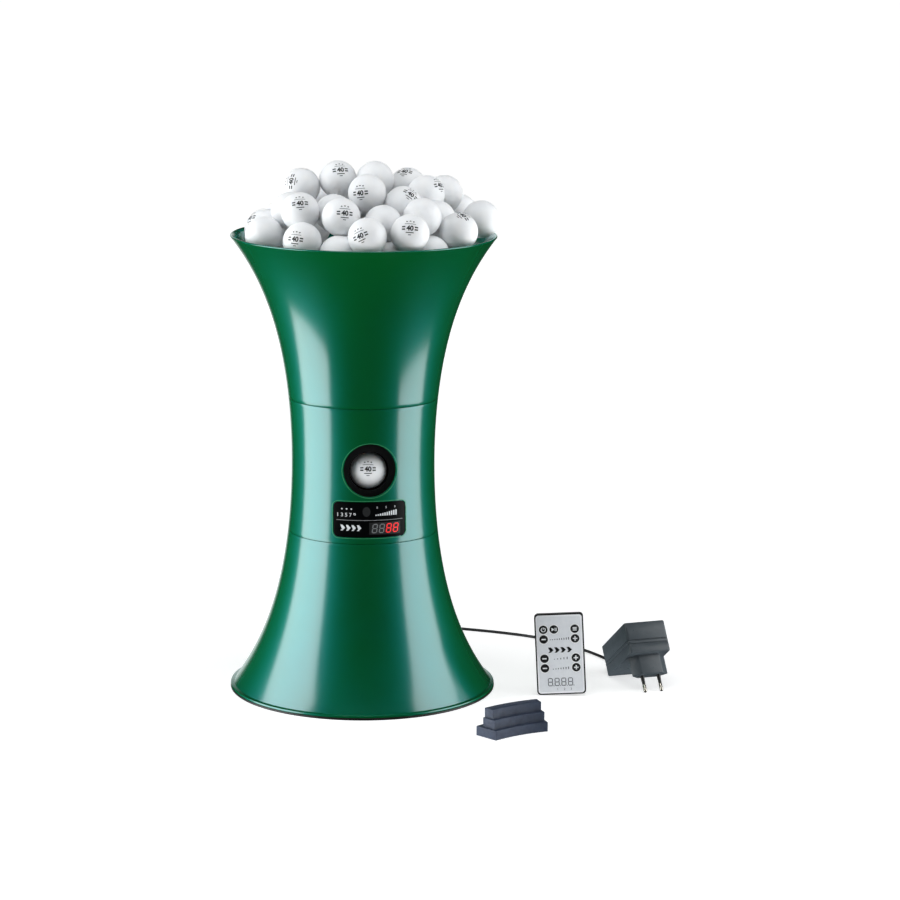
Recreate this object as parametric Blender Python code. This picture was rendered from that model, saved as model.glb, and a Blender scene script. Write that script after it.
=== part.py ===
"""Table tennis robot: an hourglass ball thrower with its hopper of balls, its
infrared handset, its curved riser and its mains adapter on a thin lead.

Units are metres. The origin is on the floor under the middle of the base,
+Z is up and the ball outlet faces -Y. Run it with
blender --background --python part.py, or from Blender's text editor.
"""

import math

import bmesh
import bpy
import numpy as np
from mathutils import Matrix, Vector

# Fits that all pieces share
GAP = 0.0003            # clearance between pieces that touch
WELD = 0.000001         # points this close are one point
BODY_SIDES = 40         # facets round the hourglass
SMALL_SIDES = 20        # facets round motors, wheels and hubs
TINY_SIDES = 12         # facets round shafts, pins and keys

# Hourglass outline
BODY_HEIGHT = 0.492
WAIST_HEIGHT = 0.250
WAIST_RADIUS = 0.0766
RIM_RADIUS = 0.1424
BASE_RADIUS = 0.1430
FLARE_LENGTH = 0.1028   # how fast the waist opens into the rim and the base
WALL = 0.0026
LOWER_SEAM = 0.174
UPPER_SEAM = 0.318
TONGUE_HEIGHT = 0.003   # lip that locates one shell inside the next
TONGUE_WALL = 0.0018
TONGUE_ROOT = 0.008
RIM_ROUND = 0.0011

# Base
PLATE_THICK = 0.0022
PLATE_STEP = 0.0035     # height of the rib that locates the base shell
PLATE_RIB = 0.0025
FOOT_RADIUS = 0.122
FOOT_WIDTH = 0.010
FOOT_DEPTH = 0.0012
BOSS_RADIUS = 0.0035

# Ball and its path through the robot
BALL_RADIUS = 0.020
BALL_PATH = 0.2486      # height of the ball's centre between the wheels
OUTLET_RADIUS = 0.0285
OUTLET_HEIGHT = 0.252
OUTLET_FLARE = 0.0008   # the outlet's edge opens this much outwards
BALL_SET_BACK = 0.0525  # outlet ball's centre, in front of the axis

# Outlet barrel
BARREL_RADIUS = 0.0210
BARREL_WALL = 0.0025
BARREL_SLOT = 0.024     # slots above and below for the throw wheels
BARREL_BACK = 0.036
BARREL_COLLAR = 0.066
BARREL_FLANGE = 0.0020
BARREL_RIM = 0.0333
BARREL_RIM_WALL = 0.0022

# Throw wheels, their motors and their frame
WHEEL_RADIUS = 0.0235
WHEEL_GRIP = 0.037      # gap between the two wheels, less than a ball
WHEEL_WIDTH = 0.020
WHEEL_CROWN = 0.0010
WHEEL_SET_BACK = 0.005
TYRE_DEPTH = 0.008
HUB_RIM = 0.003
HUB_WEB = 0.004
HUB_BOSS = 0.0055
SHAFT_RADIUS = 0.0015
MOTOR_RADIUS = 0.01385
MOTOR_LENGTH = 0.030
MOTOR_BOSS_RADIUS = 0.005
MOTOR_BOSS = 0.002
FRAME_INNER = 0.022     # each side plate stands this far from the middle
FRAME_PLATE = 0.0025
FRAME_MARGIN = 0.0012
FRAME_FOOT = 0.012
BRIDGE_LOW = 0.186
BRIDGE_REAR_TOP = 0.222
BRIDGE_FRONT_TOP = 0.197
BRIDGE_THICK = 0.0025
BRIDGE_CLEAR = 0.002
CHASSIS_THICK = 0.002
CABLE_HOLE = 0.010
CABLE_HOLE_X = 0.048
CABLE_HOLE_Y = 0.036

# Display in the front of the middle housing
WINDOW_WIDTH = 0.0756
WINDOW_HEIGHT = 0.0372
WINDOW_CORNER = 0.0050
WINDOW_MIDDLE = 0.1998
WINDOW_THICK = 0.0014
WINDOW_LEDGE = 0.0025
WINDOW_REACH = 4        # facets of the body on each side of the front
BOARD_THICK = 0.0016
DISPLAY_BOARD_WIDTH = 0.066
DISPLAY_BOARD_HEIGHT = 0.034
DISPLAY_BOARD_BACK = 0.0565
DIGITS_WIDTH = 0.0302
DIGITS_HEIGHT = 0.014
DIGITS_DEPTH = 0.0072
DIGITS_RIGHT = 0.0160   # middle of the digit block, right of the middle
DIGITS_DOWN = 0.0095
EYE_SIZE = 0.0065       # infrared receiver
EYE_LEFT = 0.0030
EYE_UP = 0.0091

# Feed drive and hopper floor
DECK_TOP = 0.3510
DECK_THICK = 0.0025
DECK_CLEAR = 0.0006
LEDGE_WIDTH = 0.0042
LEDGE_THICK = 0.0025
LEDGE_GUSSET = 0.005
POCKET_COUNT = 6
POCKET_RADIUS = 0.022
POCKET_RING = 0.048
DISC_RADIUS = 0.0795
DISC_THICK = 0.018
DISC_RAISE = 0.0030     # running clearance over the deck
CONE_RADIUS = 0.0240
CONE_HEIGHT = 0.022
CONE_TIP = 0.007
FEED_SHAFT_RADIUS = 0.003
FEED_SHAFT_HOLE = 0.004
FEED_SHAFT_REACH = 0.012
GEARBOX_RADIUS = 0.0185
GEARBOX_LENGTH = 0.016
FEED_MOTOR_RADIUS = 0.012
FEED_MOTOR_LENGTH = 0.009

# Ball chute under the deck
CHUTE_BORE = 0.0218
CHUTE_WALL = 0.0017
CHUTE_COLLAR = 0.0265
CHUTE_COLLAR_THICK = 0.003
CHUTE_BEND = 0.028
CHUTE_STEPS = 5

# Power board and socket in the base
SOCKET_HEIGHT = 0.028
SOCKET_WIDTH = 0.014
SOCKET_DEPTH = 0.0143
SOCKET_TALL = 0.011
SOCKET_BORE = 0.0031
SOCKET_PIN = 0.0009
SOCKET_BORE_DEPTH = 0.0110
PLUG_HOLE = 0.0062
POWER_BOARD_WIDTH = 0.080
POWER_BOARD_FRONT = 0.036
POWER_BOARD_BACK = 0.108
POWER_BOARD_INSET = 0.006

# Heap of balls. A row is balls that touch in turn, and each place is rough, in ball
# diameters from the middle of the rim: to the right, to the back and up.
HEAP_ROWS = (
    ((-1.6, 0.6, 1.2), (-0.6, 0.5, 1.4), (0.3, 0.3, 1.4), (1.2, 0.6, 1.2), (2.2, 0.5, 1.0),
     (1.6, -0.3, 1.1), (1.8, -1.1, 0.5)),
    ((2.7, 1.4, 0.4), (1.8, 1.3, 0.7), (1.0, 2.0, 0.7), (1.8, 2.5, 0.3), (0.8, 2.7, 0.1),
     (0.1, 3.3, 0.5), (-0.3, 2.4, 0.5), (-0.4, 1.5, 0.9)),
    ((-0.9, 3.1, 0.5), (-1.3, 2.4, -0.1), (-1.2, 1.9, 0.7), (-1.8, 2.1, 0.2)),
    ((0.0, -1.1, 1.2), (0.9, -1.2, 0.9), (1.3, -2.1, 0.7), (1.5, -2.2, -0.3), (2.3, -1.9, 0.3)),
    ((-2.6, 1.0, 0.0), (-2.6, 0.0, 0.2), (-2.7, -1.0, 0.1), (-2.0, -0.6, 0.7), (-1.8, -1.6, 0.8),
     (-1.8, -2.3, 0.1), (-0.9, -2.5, -0.2), (-0.8, -2.2, 0.7), (-0.9, -1.2, 0.7)),
    ((-0.2, -3.0, 0.3), (0.3, -2.2, 0.5), (0.4, -2.5, -0.4), (0.9, -2.9, 0.4)),
    ((3.1, -0.2, 0.4),),
)
HEAP_BITE = 0.0004      # neighbours in a row share this much
HEAP_NEST = 0.0008      # flat facets let balls stand this much closer than their diameter
HEAP_PASSES = 1500      # passes that settle the rough places
HEAP_PULL = 0.05        # share of the way back to its rough place, at the first pass
ROW_STEPS = 5           # circles along each ball of a row
ROW_SIDES = 10
BALL_SEGMENTS = 12
BALL_RINGS = 8

# Infrared handset, standing to the right of the robot
HANDSET_WIDTH = 0.0526
HANDSET_HEIGHT = 0.0884
HANDSET_THICK = 0.0072
HANDSET_CORNER = 0.0042
HANDSET_X = 0.2085      # middle of its lower edge on the floor
HANDSET_Y = -0.0694
HANDSET_YAW = math.radians(-10.0)
HANDSET_LEAN = math.radians(3.2)
HANDSET_ROLL = math.radians(3.4)
FACE_BORDER = 0.0012
FACE_THICK = 0.0012
FACE_CORNER = 0.0034
HANDSET_BOARD_DEPTH = 0.0022
HANDSET_BOARD_THICK = 0.0008
HANDSET_BOARD_INSET = 0.0040
KEY_RADIUS = 0.0042
KEY_PROUD = 0.0005
KEY_TRAVEL = 0.0003
KEY_LEFT = 0.0094       # from the handset's left side to the left keys
KEY_SECOND = 0.0207
KEY_RIGHT = 0.0095      # from its right side to the right keys
KEY_TOP = 0.0170        # from its top to the first row
KEY_PITCH = 0.01054
TRAY_DEPTH = 0.0034     # from the front of the handset to the tray
TRAY_THICK = 0.0026
TRAY_WIDTH = 0.0240
TRAY_REACH = 0.0250
TRAY_UP = 0.0190        # middle of the tray over the handset's lower edge
CELL_RADIUS = 0.0100
CELL_THICK = 0.0018
CELL_INSET = 0.0128

# Curved riser that tilts the base
RISER_STEPS = 3
RISER_STEP_HEIGHT = 0.0099
RISER_RADIUS = 0.1435   # hollow side, to the radius of the base
RISER_TREAD = 0.0043
RISER_TOP = 0.0122
RISER_LEDGE = 0.0070
RISER_CHORD = 0.0640
RISER_END_INSET = 0.0020
RISER_FACETS = 8
RISER_X = 0.1422
RISER_Y = -0.2100
RISER_YAW = math.radians(25.5)

# Mains adapter, resting on its pin tips and its rear lower edge
ADAPTER_WIDTH = 0.0478
ADAPTER_LENGTH = 0.0750
ADAPTER_SPLIT = 0.0147  # height of the seam over the plug face
ADAPTER_HEIGHT = 0.0354
ADAPTER_CORNER = 0.0030
ADAPTER_EDGE = 0.0016
ADAPTER_X = 0.2710      # rear lower left corner on the floor
ADAPTER_Y = 0.0014
ADAPTER_YAW = math.radians(12.5)
EURO_WIDTH = 0.0420     # flat six-sided plug block
EURO_DEPTH = 0.0148
EURO_FLAT = 0.0246
EURO_REACH = 0.0217
EURO_FROM_REAR = 0.0600
PIN_LENGTH = 0.0190
PIN_RADIUS = 0.0020
PIN_SPACING = 0.0190
PIN_SEAT = 0.0040
RELIEF_LENGTH = 0.012
RELIEF_RADIUS = 0.0034
RELIEF_TIP = 0.0023

# Low-voltage lead: from the socket to the coil behind the base, and from the coil
# to the adapter's strain relief
CORD_DIAMETER = 0.0032
CORD_POINT_STEP = 3     # cord diameters between the points of a stretch
PLUG_RADIUS = 0.0050
PLUG_LENGTH = 0.022
PLUG_TAPER = 0.010
BARREL_PLUG_RADIUS = 0.00275
BARREL_PLUG_BORE = 0.0013
BARREL_PLUG_LENGTH = 0.0090
CORD_TO_COIL = (
    (0.0000, 0.1500, 0.0280), (0.0000, 0.1560, 0.0280), (0.0006, 0.1640, 0.0262),
    (0.0018, 0.1730, 0.0200), (0.0034, 0.1820, 0.0126), (0.0050, 0.1910, 0.0066),
    (0.0064, 0.2000, 0.0030), (0.0072, 0.2080, 0.0018), (0.0073, 0.2147, 0.0018),
)
CORD_TO_ADAPTER = (
    (0.0353, 0.2417, 0.0058), (0.0420, 0.2417, 0.0056), (0.0520, 0.2414, 0.0042),
    (0.0620, 0.2406, 0.0024), (0.0720, 0.2392, 0.0018), (0.0880, 0.2356, 0.0018),
    (0.1140, 0.2262, 0.0018), (0.1405, 0.2146, 0.0018), (0.1780, 0.1958, 0.0018),
    (0.2151, 0.1713, 0.0018), (0.2440, 0.1405, 0.0018), (0.2642, 0.1068, 0.0018),
    (0.2780, 0.0780, 0.0018), (0.2851, 0.0548, 0.0018), (0.2877, 0.0413, 0.0018),
    (0.2893, 0.0304, 0.0028), (0.2903, 0.0249, 0.0052),
)
COIL_X = 0.0350
COIL_Y = 0.2150
COIL_MEAN_RADIUS = 0.0195
COIL_TURNS_IN = 4
COIL_TURNS_OUT = 3.75
COIL_PITCH = 0.0041     # between turns and between layers
COIL_LOOP_POINTS = 24

BALL_DIAMETER = 2 * BALL_RADIUS
CORD_RADIUS = CORD_DIAMETER / 2


def clear_scene():
    for obj in list(bpy.data.objects):
        bpy.data.objects.remove(obj, do_unlink=True)


def finish(name, colour, roughness, metallic=0.0):
    """A plain Principled material in linear colour."""
    made = bpy.data.materials.get(name)
    if made is None:
        made = bpy.data.materials.new(name)
        made.use_nodes = True
        shader = made.node_tree.nodes["Principled BSDF"]
        shader.inputs["Base Color"].default_value = (*colour, 1.0)
        shader.inputs["Roughness"].default_value = roughness
        shader.inputs["Metallic"].default_value = metallic
    return made


def green_plastic():
    return finish("green_abs", (0.0, 0.195, 0.045), 0.30)


def black_plastic():
    return finish("black_abs", (0.010, 0.010, 0.011), 0.38)


def grey_plastic():
    return finish("grey_abs", (0.10, 0.10, 0.11), 0.45)


def gloss_black():
    return finish("gloss_black_acrylic", (0.006, 0.006, 0.008), 0.08)


def red_rubber():
    return finish("red_rubber", (0.26, 0.012, 0.012), 0.72)


def black_rubber():
    return finish("black_rubber", (0.014, 0.014, 0.015), 0.75)


def steel():
    return finish("steel", (0.56, 0.56, 0.57), 0.28, 1.0)


def nickel():
    return finish("nickel_plate", (0.63, 0.60, 0.54), 0.22, 1.0)


def green_board():
    return finish("circuit_board", (0.005, 0.085, 0.030), 0.40)


def ball_plastic():
    return finish("white_ball_plastic", (0.86, 0.86, 0.88), 0.55)


def slate_rubber():
    return finish("slate_rubber", (0.020, 0.026, 0.038), 0.60)


def white_face():
    return finish("white_overlay", (0.80, 0.80, 0.83), 0.42)


def node(name, mesh, material, parent=None):
    obj = bpy.data.objects.new(name, mesh)
    bpy.context.scene.collection.objects.link(obj)
    if material is not None:
        mesh.materials.append(material)
    obj.parent = parent
    return obj


def helper(obj):
    """A cutter or a shape that a Boolean joins to another piece."""
    obj.hide_render = True
    obj.display_type = "WIRE"
    return obj


def combine(target, other, operation):
    modifier = target.modifiers.new(other.name, "BOOLEAN")
    modifier.operation = operation
    modifier.object = helper(other)
    return target


def cut(target, *others):
    for other in others:
        combine(target, other, "DIFFERENCE")
    return target


def join(target, *others):
    for other in others:
        combine(target, other, "UNION")
    return target


def keep_inside(target, other):
    return combine(target, other, "INTERSECT")


def mesh_from(name, work):
    """Closes a bmesh with its faces outwards, as a mesh with smooth round sides."""
    bmesh.ops.remove_doubles(work, verts=work.verts, dist=WELD)
    bmesh.ops.recalc_face_normals(work, faces=work.faces)
    mesh = bpy.data.meshes.new(name)
    work.to_mesh(mesh)
    work.free()
    mesh.shade_smooth()
    mesh.set_sharp_from_angle(angle=math.radians(35))
    return mesh


def revolve(name, outline, material, sides=BODY_SIDES, parent=None):
    """Turns an outline of (radius, height) points about Z.

    An outline that starts and ends on the axis stays open there.
    """
    work = bmesh.new()
    points = [work.verts.new((radius, 0.0, height)) for radius, height in outline]
    edges = [work.edges.new(pair) for pair in zip(points, points[1:])]
    if outline[0][0] > WELD or outline[-1][0] > WELD:
        edges.append(work.edges.new((points[-1], points[0])))
    bmesh.ops.spin(work, geom=points + edges, angle=math.tau, steps=sides,
                   axis=(0, 0, 1), cent=(0, 0, 0), use_merge=True)
    return node(name, mesh_from(name, work), material, parent)


def sector(name, outline, material, start, sweep, steps, parent=None):
    """Turns an outline of (radius, height) points through part of a circle."""
    work = bmesh.new()
    face = work.faces.new(
        [work.verts.new((r * math.cos(start), r * math.sin(start), z)) for r, z in outline])
    bmesh.ops.spin(work, geom=[face], angle=sweep, steps=steps,
                   axis=(0, 0, 1), cent=(0, 0, 0))
    return node(name, mesh_from(name, work), material, parent)


def prism(name, outline, start, end, material, axis="Z", parent=None):
    """Extrudes an outline of two coordinates from start to end along an axis."""
    place = {
        "X": lambda a, b, along: (along, a, b),
        "Y": lambda a, b, along: (a, along, b),
        "Z": lambda a, b, along: (a, b, along),
    }[axis]
    work = bmesh.new()
    face = work.faces.new([work.verts.new(place(a, b, start)) for a, b in outline])
    grown = bmesh.ops.extrude_face_region(work, geom=[face])["geom"]
    moved = [v for v in grown if isinstance(v, bmesh.types.BMVert)]
    bmesh.ops.translate(work, verts=moved, vec=place(0, 0, end - start))
    return node(name, mesh_from(name, work), material, parent)


def box(name, low, high, material, parent=None):
    outline = [(low[0], low[1]), (high[0], low[1]), (high[0], high[1]), (low[0], high[1])]
    return prism(name, outline, low[2], high[2], material, parent=parent)


def rounded_rectangle(width, height, radius, middle=(0.0, 0.0), steps=4):
    points = []
    for turn, (side, up) in enumerate([(1, 1), (-1, 1), (-1, -1), (1, -1)]):
        corner_x = middle[0] + side * (width / 2 - radius)
        corner_y = middle[1] + up * (height / 2 - radius)
        for step in range(steps + 1):
            angle = math.pi / 2 * (turn + step / steps)
            points.append((corner_x + radius * math.cos(angle),
                           corner_y + radius * math.sin(angle)))
    return points


def circle(radius, sides=BODY_SIDES):
    return [(radius * math.cos(a), radius * math.sin(a))
            for a in [math.tau * number / sides for number in range(sides)]]


def cylinders(name, centres, radius, low, high, axis="Z", sides=SMALL_SIDES, parent=None):
    """Round cutters, or round posts, as one helper mesh."""
    turn = {"X": Matrix.Rotation(math.pi / 2, 4, "Y"),
            "Y": Matrix.Rotation(-math.pi / 2, 4, "X"),
            "Z": Matrix.Identity(4)}[axis]
    along = {"X": Vector((1, 0, 0)), "Y": Vector((0, 1, 0)), "Z": Vector((0, 0, 1))}[axis]
    work = bmesh.new()
    for centre in centres:
        place = Matrix.Translation(Vector(centre) + along * (low + high) / 2) @ turn
        bmesh.ops.create_cone(work, cap_ends=True, segments=sides, radius1=radius,
                              radius2=radius, depth=high - low, matrix=place)
    return node(name, mesh_from(name, work), None, parent)


def smooth_route(points, spacing):
    """Points at an even spacing on one smooth curve through the route's points."""
    route = [Vector(p) for p in points]
    route = [2 * route[0] - route[1]] + route + [2 * route[-1] - route[-2]]
    fine = []
    for before, here, there, after in zip(route, route[1:], route[2:], route[3:]):
        for step in range(40):
            t = step / 40
            fine.append(0.5 * (2 * here + (there - before) * t
                               + (2 * before - 5 * here + 4 * there - after) * t ** 2
                               + (3 * here - before - 3 * there + after) * t ** 3))
    fine.append(route[-2])
    lengths = [0.0]
    for a, b in zip(fine, fine[1:]):
        lengths.append(lengths[-1] + (b - a).length)
    count = max(2, round(lengths[-1] / spacing))
    even, index = [], 0
    for number in range(count + 1):
        wanted = lengths[-1] * number / count
        while index < len(fine) - 2 and lengths[index + 1] < wanted:
            index += 1
        share = (wanted - lengths[index]) / (lengths[index + 1] - lengths[index])
        even.append(fine[index].lerp(fine[index + 1], share))
    return even


def pipe(name, points, radius, resolution, material, parent=None):
    """A round tube along points, as a curve with filled caps."""
    curve = bpy.data.curves.new(name, "CURVE")
    curve.dimensions = "3D"
    curve.bevel_depth = radius
    curve.bevel_resolution = resolution
    curve.use_fill_caps = True
    spline = curve.splines.new("POLY")
    spline.points.add(len(points) - 1)
    for point, place in zip(spline.points, points):
        point.co = (*place, 1.0)
    return node(name, curve, material, parent)


def pipe_solid(name, points, radius, resolution, material, parent=None):
    """The same tube as a mesh, which a Boolean can use."""
    guide = pipe(name + "_guide", points, radius, resolution, None)
    graph = bpy.context.evaluated_depsgraph_get()
    mesh = bpy.data.meshes.new_from_object(guide.evaluated_get(graph))
    bpy.data.objects.remove(guide, do_unlink=True)
    work = bmesh.new()
    work.from_mesh(mesh)
    return node(name, mesh_from(name, work), material, parent)


def least_gap(points, diameter, window):
    """Least clear distance of a wound tube to its own other turns."""
    least = math.inf
    for index, here in enumerate(points):
        for there in points[index + window:]:
            least = min(least, (there - here).length)
    return least - diameter


def flare_scale(height):
    """Size of the catenary that reaches the rim above the waist or the base below it."""
    if height > WAIST_HEIGHT:
        end, reach = RIM_RADIUS, BODY_HEIGHT - WAIST_HEIGHT
    else:
        end, reach = BASE_RADIUS, WAIST_HEIGHT
    return (end - WAIST_RADIUS) / (math.cosh(reach / FLARE_LENGTH) - 1)


def outer_radius(height):
    """Catenary flare from the waist to the rim above and to the base below."""
    return WAIST_RADIUS + flare_scale(height) * (
        math.cosh((height - WAIST_HEIGHT) / FLARE_LENGTH) - 1)


def wall_slope(height):
    return flare_scale(height) * math.sinh((height - WAIST_HEIGHT) / FLARE_LENGTH) / FLARE_LENGTH


def inner_radius(height):
    return outer_radius(height) - WALL * math.hypot(1, wall_slope(height))


def levels(low, high, count):
    return [low + (high - low) * step / count for step in range(count + 1)]


def flare_levels(waist, wide, count):
    """Heights from near the waist to a wide end, closer together at that end."""
    return [wide + (waist - wide) * (1 - step / count) ** 1.4 for step in range(count + 1)]


def housing_levels():
    """Heights at which the inner wall of the middle housing has its edges."""
    return levels(LOWER_SEAM + GAP / 2, UPPER_SEAM - TONGUE_ROOT, 3)


def tongue(seam):
    """Outline of the lip over a seam, from the outer edge to the inner wall."""
    outside = inner_radius(seam) - GAP
    inside = outside - TONGUE_WALL
    return [(outer_radius(seam), seam - GAP / 2), (outside, seam - GAP / 2),
            (outside, seam + TONGUE_HEIGHT), (inside, seam + TONGUE_HEIGHT),
            (inner_radius(seam - TONGUE_ROOT), seam - TONGUE_ROOT)]


def make_base():
    foot_in, foot_out = FOOT_RADIUS - FOOT_WIDTH, FOOT_RADIUS
    seat = inner_radius(PLATE_THICK) - 2 * GAP
    rib = inner_radius(PLATE_THICK + PLATE_STEP) - 2 * GAP
    plate = revolve("base_plate", [
        (0, 0), (foot_in, 0), (foot_in, FOOT_DEPTH), (foot_out, FOOT_DEPTH), (foot_out, 0),
        (BASE_RADIUS, 0), (BASE_RADIUS, PLATE_THICK), (seat, PLATE_THICK),
        (rib, PLATE_THICK + PLATE_STEP), (rib - PLATE_RIB, PLATE_THICK + PLATE_STEP),
        (rib - PLATE_RIB, PLATE_THICK), (0, PLATE_THICK),
    ], black_plastic())
    board_under = SOCKET_HEIGHT - SOCKET_TALL / 2 - GAP - BOARD_THICK
    corners = [(side * (POWER_BOARD_WIDTH / 2 - POWER_BOARD_INSET), y, 0)
               for side in (-1, 1)
               for y in (POWER_BOARD_FRONT + POWER_BOARD_INSET,
                         POWER_BOARD_BACK - POWER_BOARD_INSET)]
    join(plate, cylinders("board_bosses", corners, BOSS_RADIUS, PLATE_THICK / 2,
                          board_under - GAP, sides=8))
    revolve("foot_ring", [
        (foot_in + GAP, 0), (foot_out - GAP, 0),
        (foot_out - GAP, FOOT_DEPTH - GAP), (foot_in + GAP, FOOT_DEPTH - GAP),
    ], black_rubber())

    low = PLATE_THICK + GAP
    outer = [(outer_radius(z), z) for z in flare_levels(LOWER_SEAM, low, 6)[:0:-1]]
    inner = [(inner_radius(z), z) for z in flare_levels(LOWER_SEAM - TONGUE_ROOT, low, 4)[1:]]
    shell = revolve("base_shell", outer + tongue(LOWER_SEAM) + inner, green_plastic())
    back = outer_radius(SOCKET_HEIGHT)
    cut(shell, cylinders("cutter_plug_hole", [(0, 0, SOCKET_HEIGHT)], PLUG_HOLE,
                         back - 5 * WALL, back + 3 * WALL, "Y"))


def socket_face():
    """The socket's front touches the sloping wall at the socket's top edge."""
    return inner_radius(SOCKET_HEIGHT + SOCKET_TALL / 2) * math.cos(math.pi / BODY_SIDES) - GAP


def make_power_board():
    face = socket_face()
    top = SOCKET_HEIGHT - SOCKET_TALL / 2 - GAP
    half = POWER_BOARD_WIDTH / 2
    board = box("power_board", (-half, POWER_BOARD_FRONT, top - BOARD_THICK),
                (half, POWER_BOARD_BACK, top), green_board())
    chip = box("board_driver", (-0.6 * half, POWER_BOARD_FRONT + 0.012, top - BOARD_THICK / 2),
               (-0.2 * half, POWER_BOARD_FRONT + 0.028, top + 0.004), None)
    cans = cylinders("board_capacitors", [(0.3 * half, POWER_BOARD_FRONT + 0.02, 0),
                                          (0.7 * half, POWER_BOARD_FRONT + 0.02, 0)],
                     0.005, top - BOARD_THICK / 2, top + 0.013, sides=TINY_SIDES)
    join(board, chip, cans)

    socket = box("dc_socket", (-SOCKET_WIDTH / 2, face - SOCKET_DEPTH, top + GAP),
                 (SOCKET_WIDTH / 2, face, top + GAP + SOCKET_TALL), black_plastic())
    bore = cylinders("cutter_socket", [(0, 0, SOCKET_HEIGHT)], SOCKET_BORE,
                     face - SOCKET_BORE_DEPTH, face + WALL, "Y", TINY_SIDES)
    contact = cylinders("socket_contact", [(0, 0, SOCKET_HEIGHT)], SOCKET_PIN,
                        face - SOCKET_DEPTH + WALL / 2, face - 2 * GAP, "Y", 8)
    join(cut(socket, bore), contact)


def make_middle():
    low = LOWER_SEAM + GAP / 2
    outer = [(outer_radius(z), z) for z in levels(low, UPPER_SEAM, 5)[:-1]]
    inner = [(inner_radius(z), z) for z in housing_levels()[-2::-1]]
    shell = revolve("mid_housing", outer + tongue(UPPER_SEAM) + inner, green_plastic())

    outlet = bmesh.new()
    front = outer_radius(OUTLET_HEIGHT)
    reach = 5 * WALL
    turn = Matrix.Translation((0, -front, OUTLET_HEIGHT)) @ Matrix.Rotation(math.pi / 2, 4, "X")
    bmesh.ops.create_cone(outlet, cap_ends=True, segments=28, depth=4 * reach,
                          radius1=OUTLET_RADIUS - OUTLET_FLARE * 2 * reach / WALL / 2,
                          radius2=OUTLET_RADIUS + OUTLET_FLARE * 2 * reach / WALL / 2,
                          matrix=turn)
    cut(shell, node("cutter_outlet", mesh_from("cutter_outlet", outlet), None))

    # The window lies in a recess that follows the round wall, over a ledge
    window = rounded_rectangle(WINDOW_WIDTH, WINDOW_HEIGHT, WINDOW_CORNER, (0, WINDOW_MIDDLE))
    recess = front_band("cutter_recess", -(WINDOW_THICK + GAP), 4 * WALL)
    keep_inside(recess, prism("recess_outline", window, -2 * WAIST_RADIUS, 0, None, "Y"))
    opening = rounded_rectangle(WINDOW_WIDTH - 2 * WINDOW_LEDGE, WINDOW_HEIGHT - 2 * WINDOW_LEDGE,
                                WINDOW_CORNER - WINDOW_LEDGE, (0, WINDOW_MIDDLE))
    cut(shell, recess, prism("cutter_opening", opening, -2 * WAIST_RADIUS, -WAIST_RADIUS / 2,
                             None, "Y"))
    pane = front_band("display_window", -WINDOW_THICK, 0.0, gloss_black())
    outline = rounded_rectangle(WINDOW_WIDTH - 2 * GAP, WINDOW_HEIGHT - 2 * GAP,
                                WINDOW_CORNER - GAP, (0, WINDOW_MIDDLE))
    keep_inside(pane, prism("window_outline", outline, -2 * WAIST_RADIUS, 0, None, "Y"))


def front_band(name, inset, outset, material=None):
    """A band of the front wall, in the facets of the body, from inset to outset."""
    reach = WINDOW_HEIGHT * 0.7
    heights = levels(WINDOW_MIDDLE - reach, WINDOW_MIDDLE + reach, 4)
    outline = [(outer_radius(z) + outset, z) for z in heights]
    outline += [(outer_radius(z) + inset, z) for z in reversed(heights)]
    facet = math.tau / BODY_SIDES
    return sector(name, outline, material, -math.pi / 2 - WINDOW_REACH * facet,
                  2 * WINDOW_REACH * facet, 2 * WINDOW_REACH)


def make_display_board():
    back = -DISPLAY_BOARD_BACK
    low = LOWER_SEAM + TONGUE_HEIGHT + CHASSIS_THICK + 2 * GAP
    half = DISPLAY_BOARD_WIDTH / 2
    board = box("display_board", (-half, back - BOARD_THICK, low),
                (half, back, low + DISPLAY_BOARD_HEIGHT), green_board())
    front = back - BOARD_THICK / 2
    digits = box("digit_block", (DIGITS_RIGHT - DIGITS_WIDTH / 2, front - DIGITS_DEPTH,
                                 WINDOW_MIDDLE - DIGITS_DOWN - DIGITS_HEIGHT / 2),
                 (DIGITS_RIGHT + DIGITS_WIDTH / 2, front,
                  WINDOW_MIDDLE - DIGITS_DOWN + DIGITS_HEIGHT / 2), None)
    eye = cylinders("infrared_eye", [(-EYE_LEFT, 0, WINDOW_MIDDLE + EYE_UP)], EYE_SIZE / 2,
                    front - DIGITS_DEPTH, front, "Y", TINY_SIDES)
    join(board, digits, eye)


def wheel_height(side):
    """Height of a throw wheel's axle: side is 1 for the upper, -1 for the lower."""
    return BALL_PATH + side * (WHEEL_GRIP / 2 + WHEEL_RADIUS)


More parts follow.
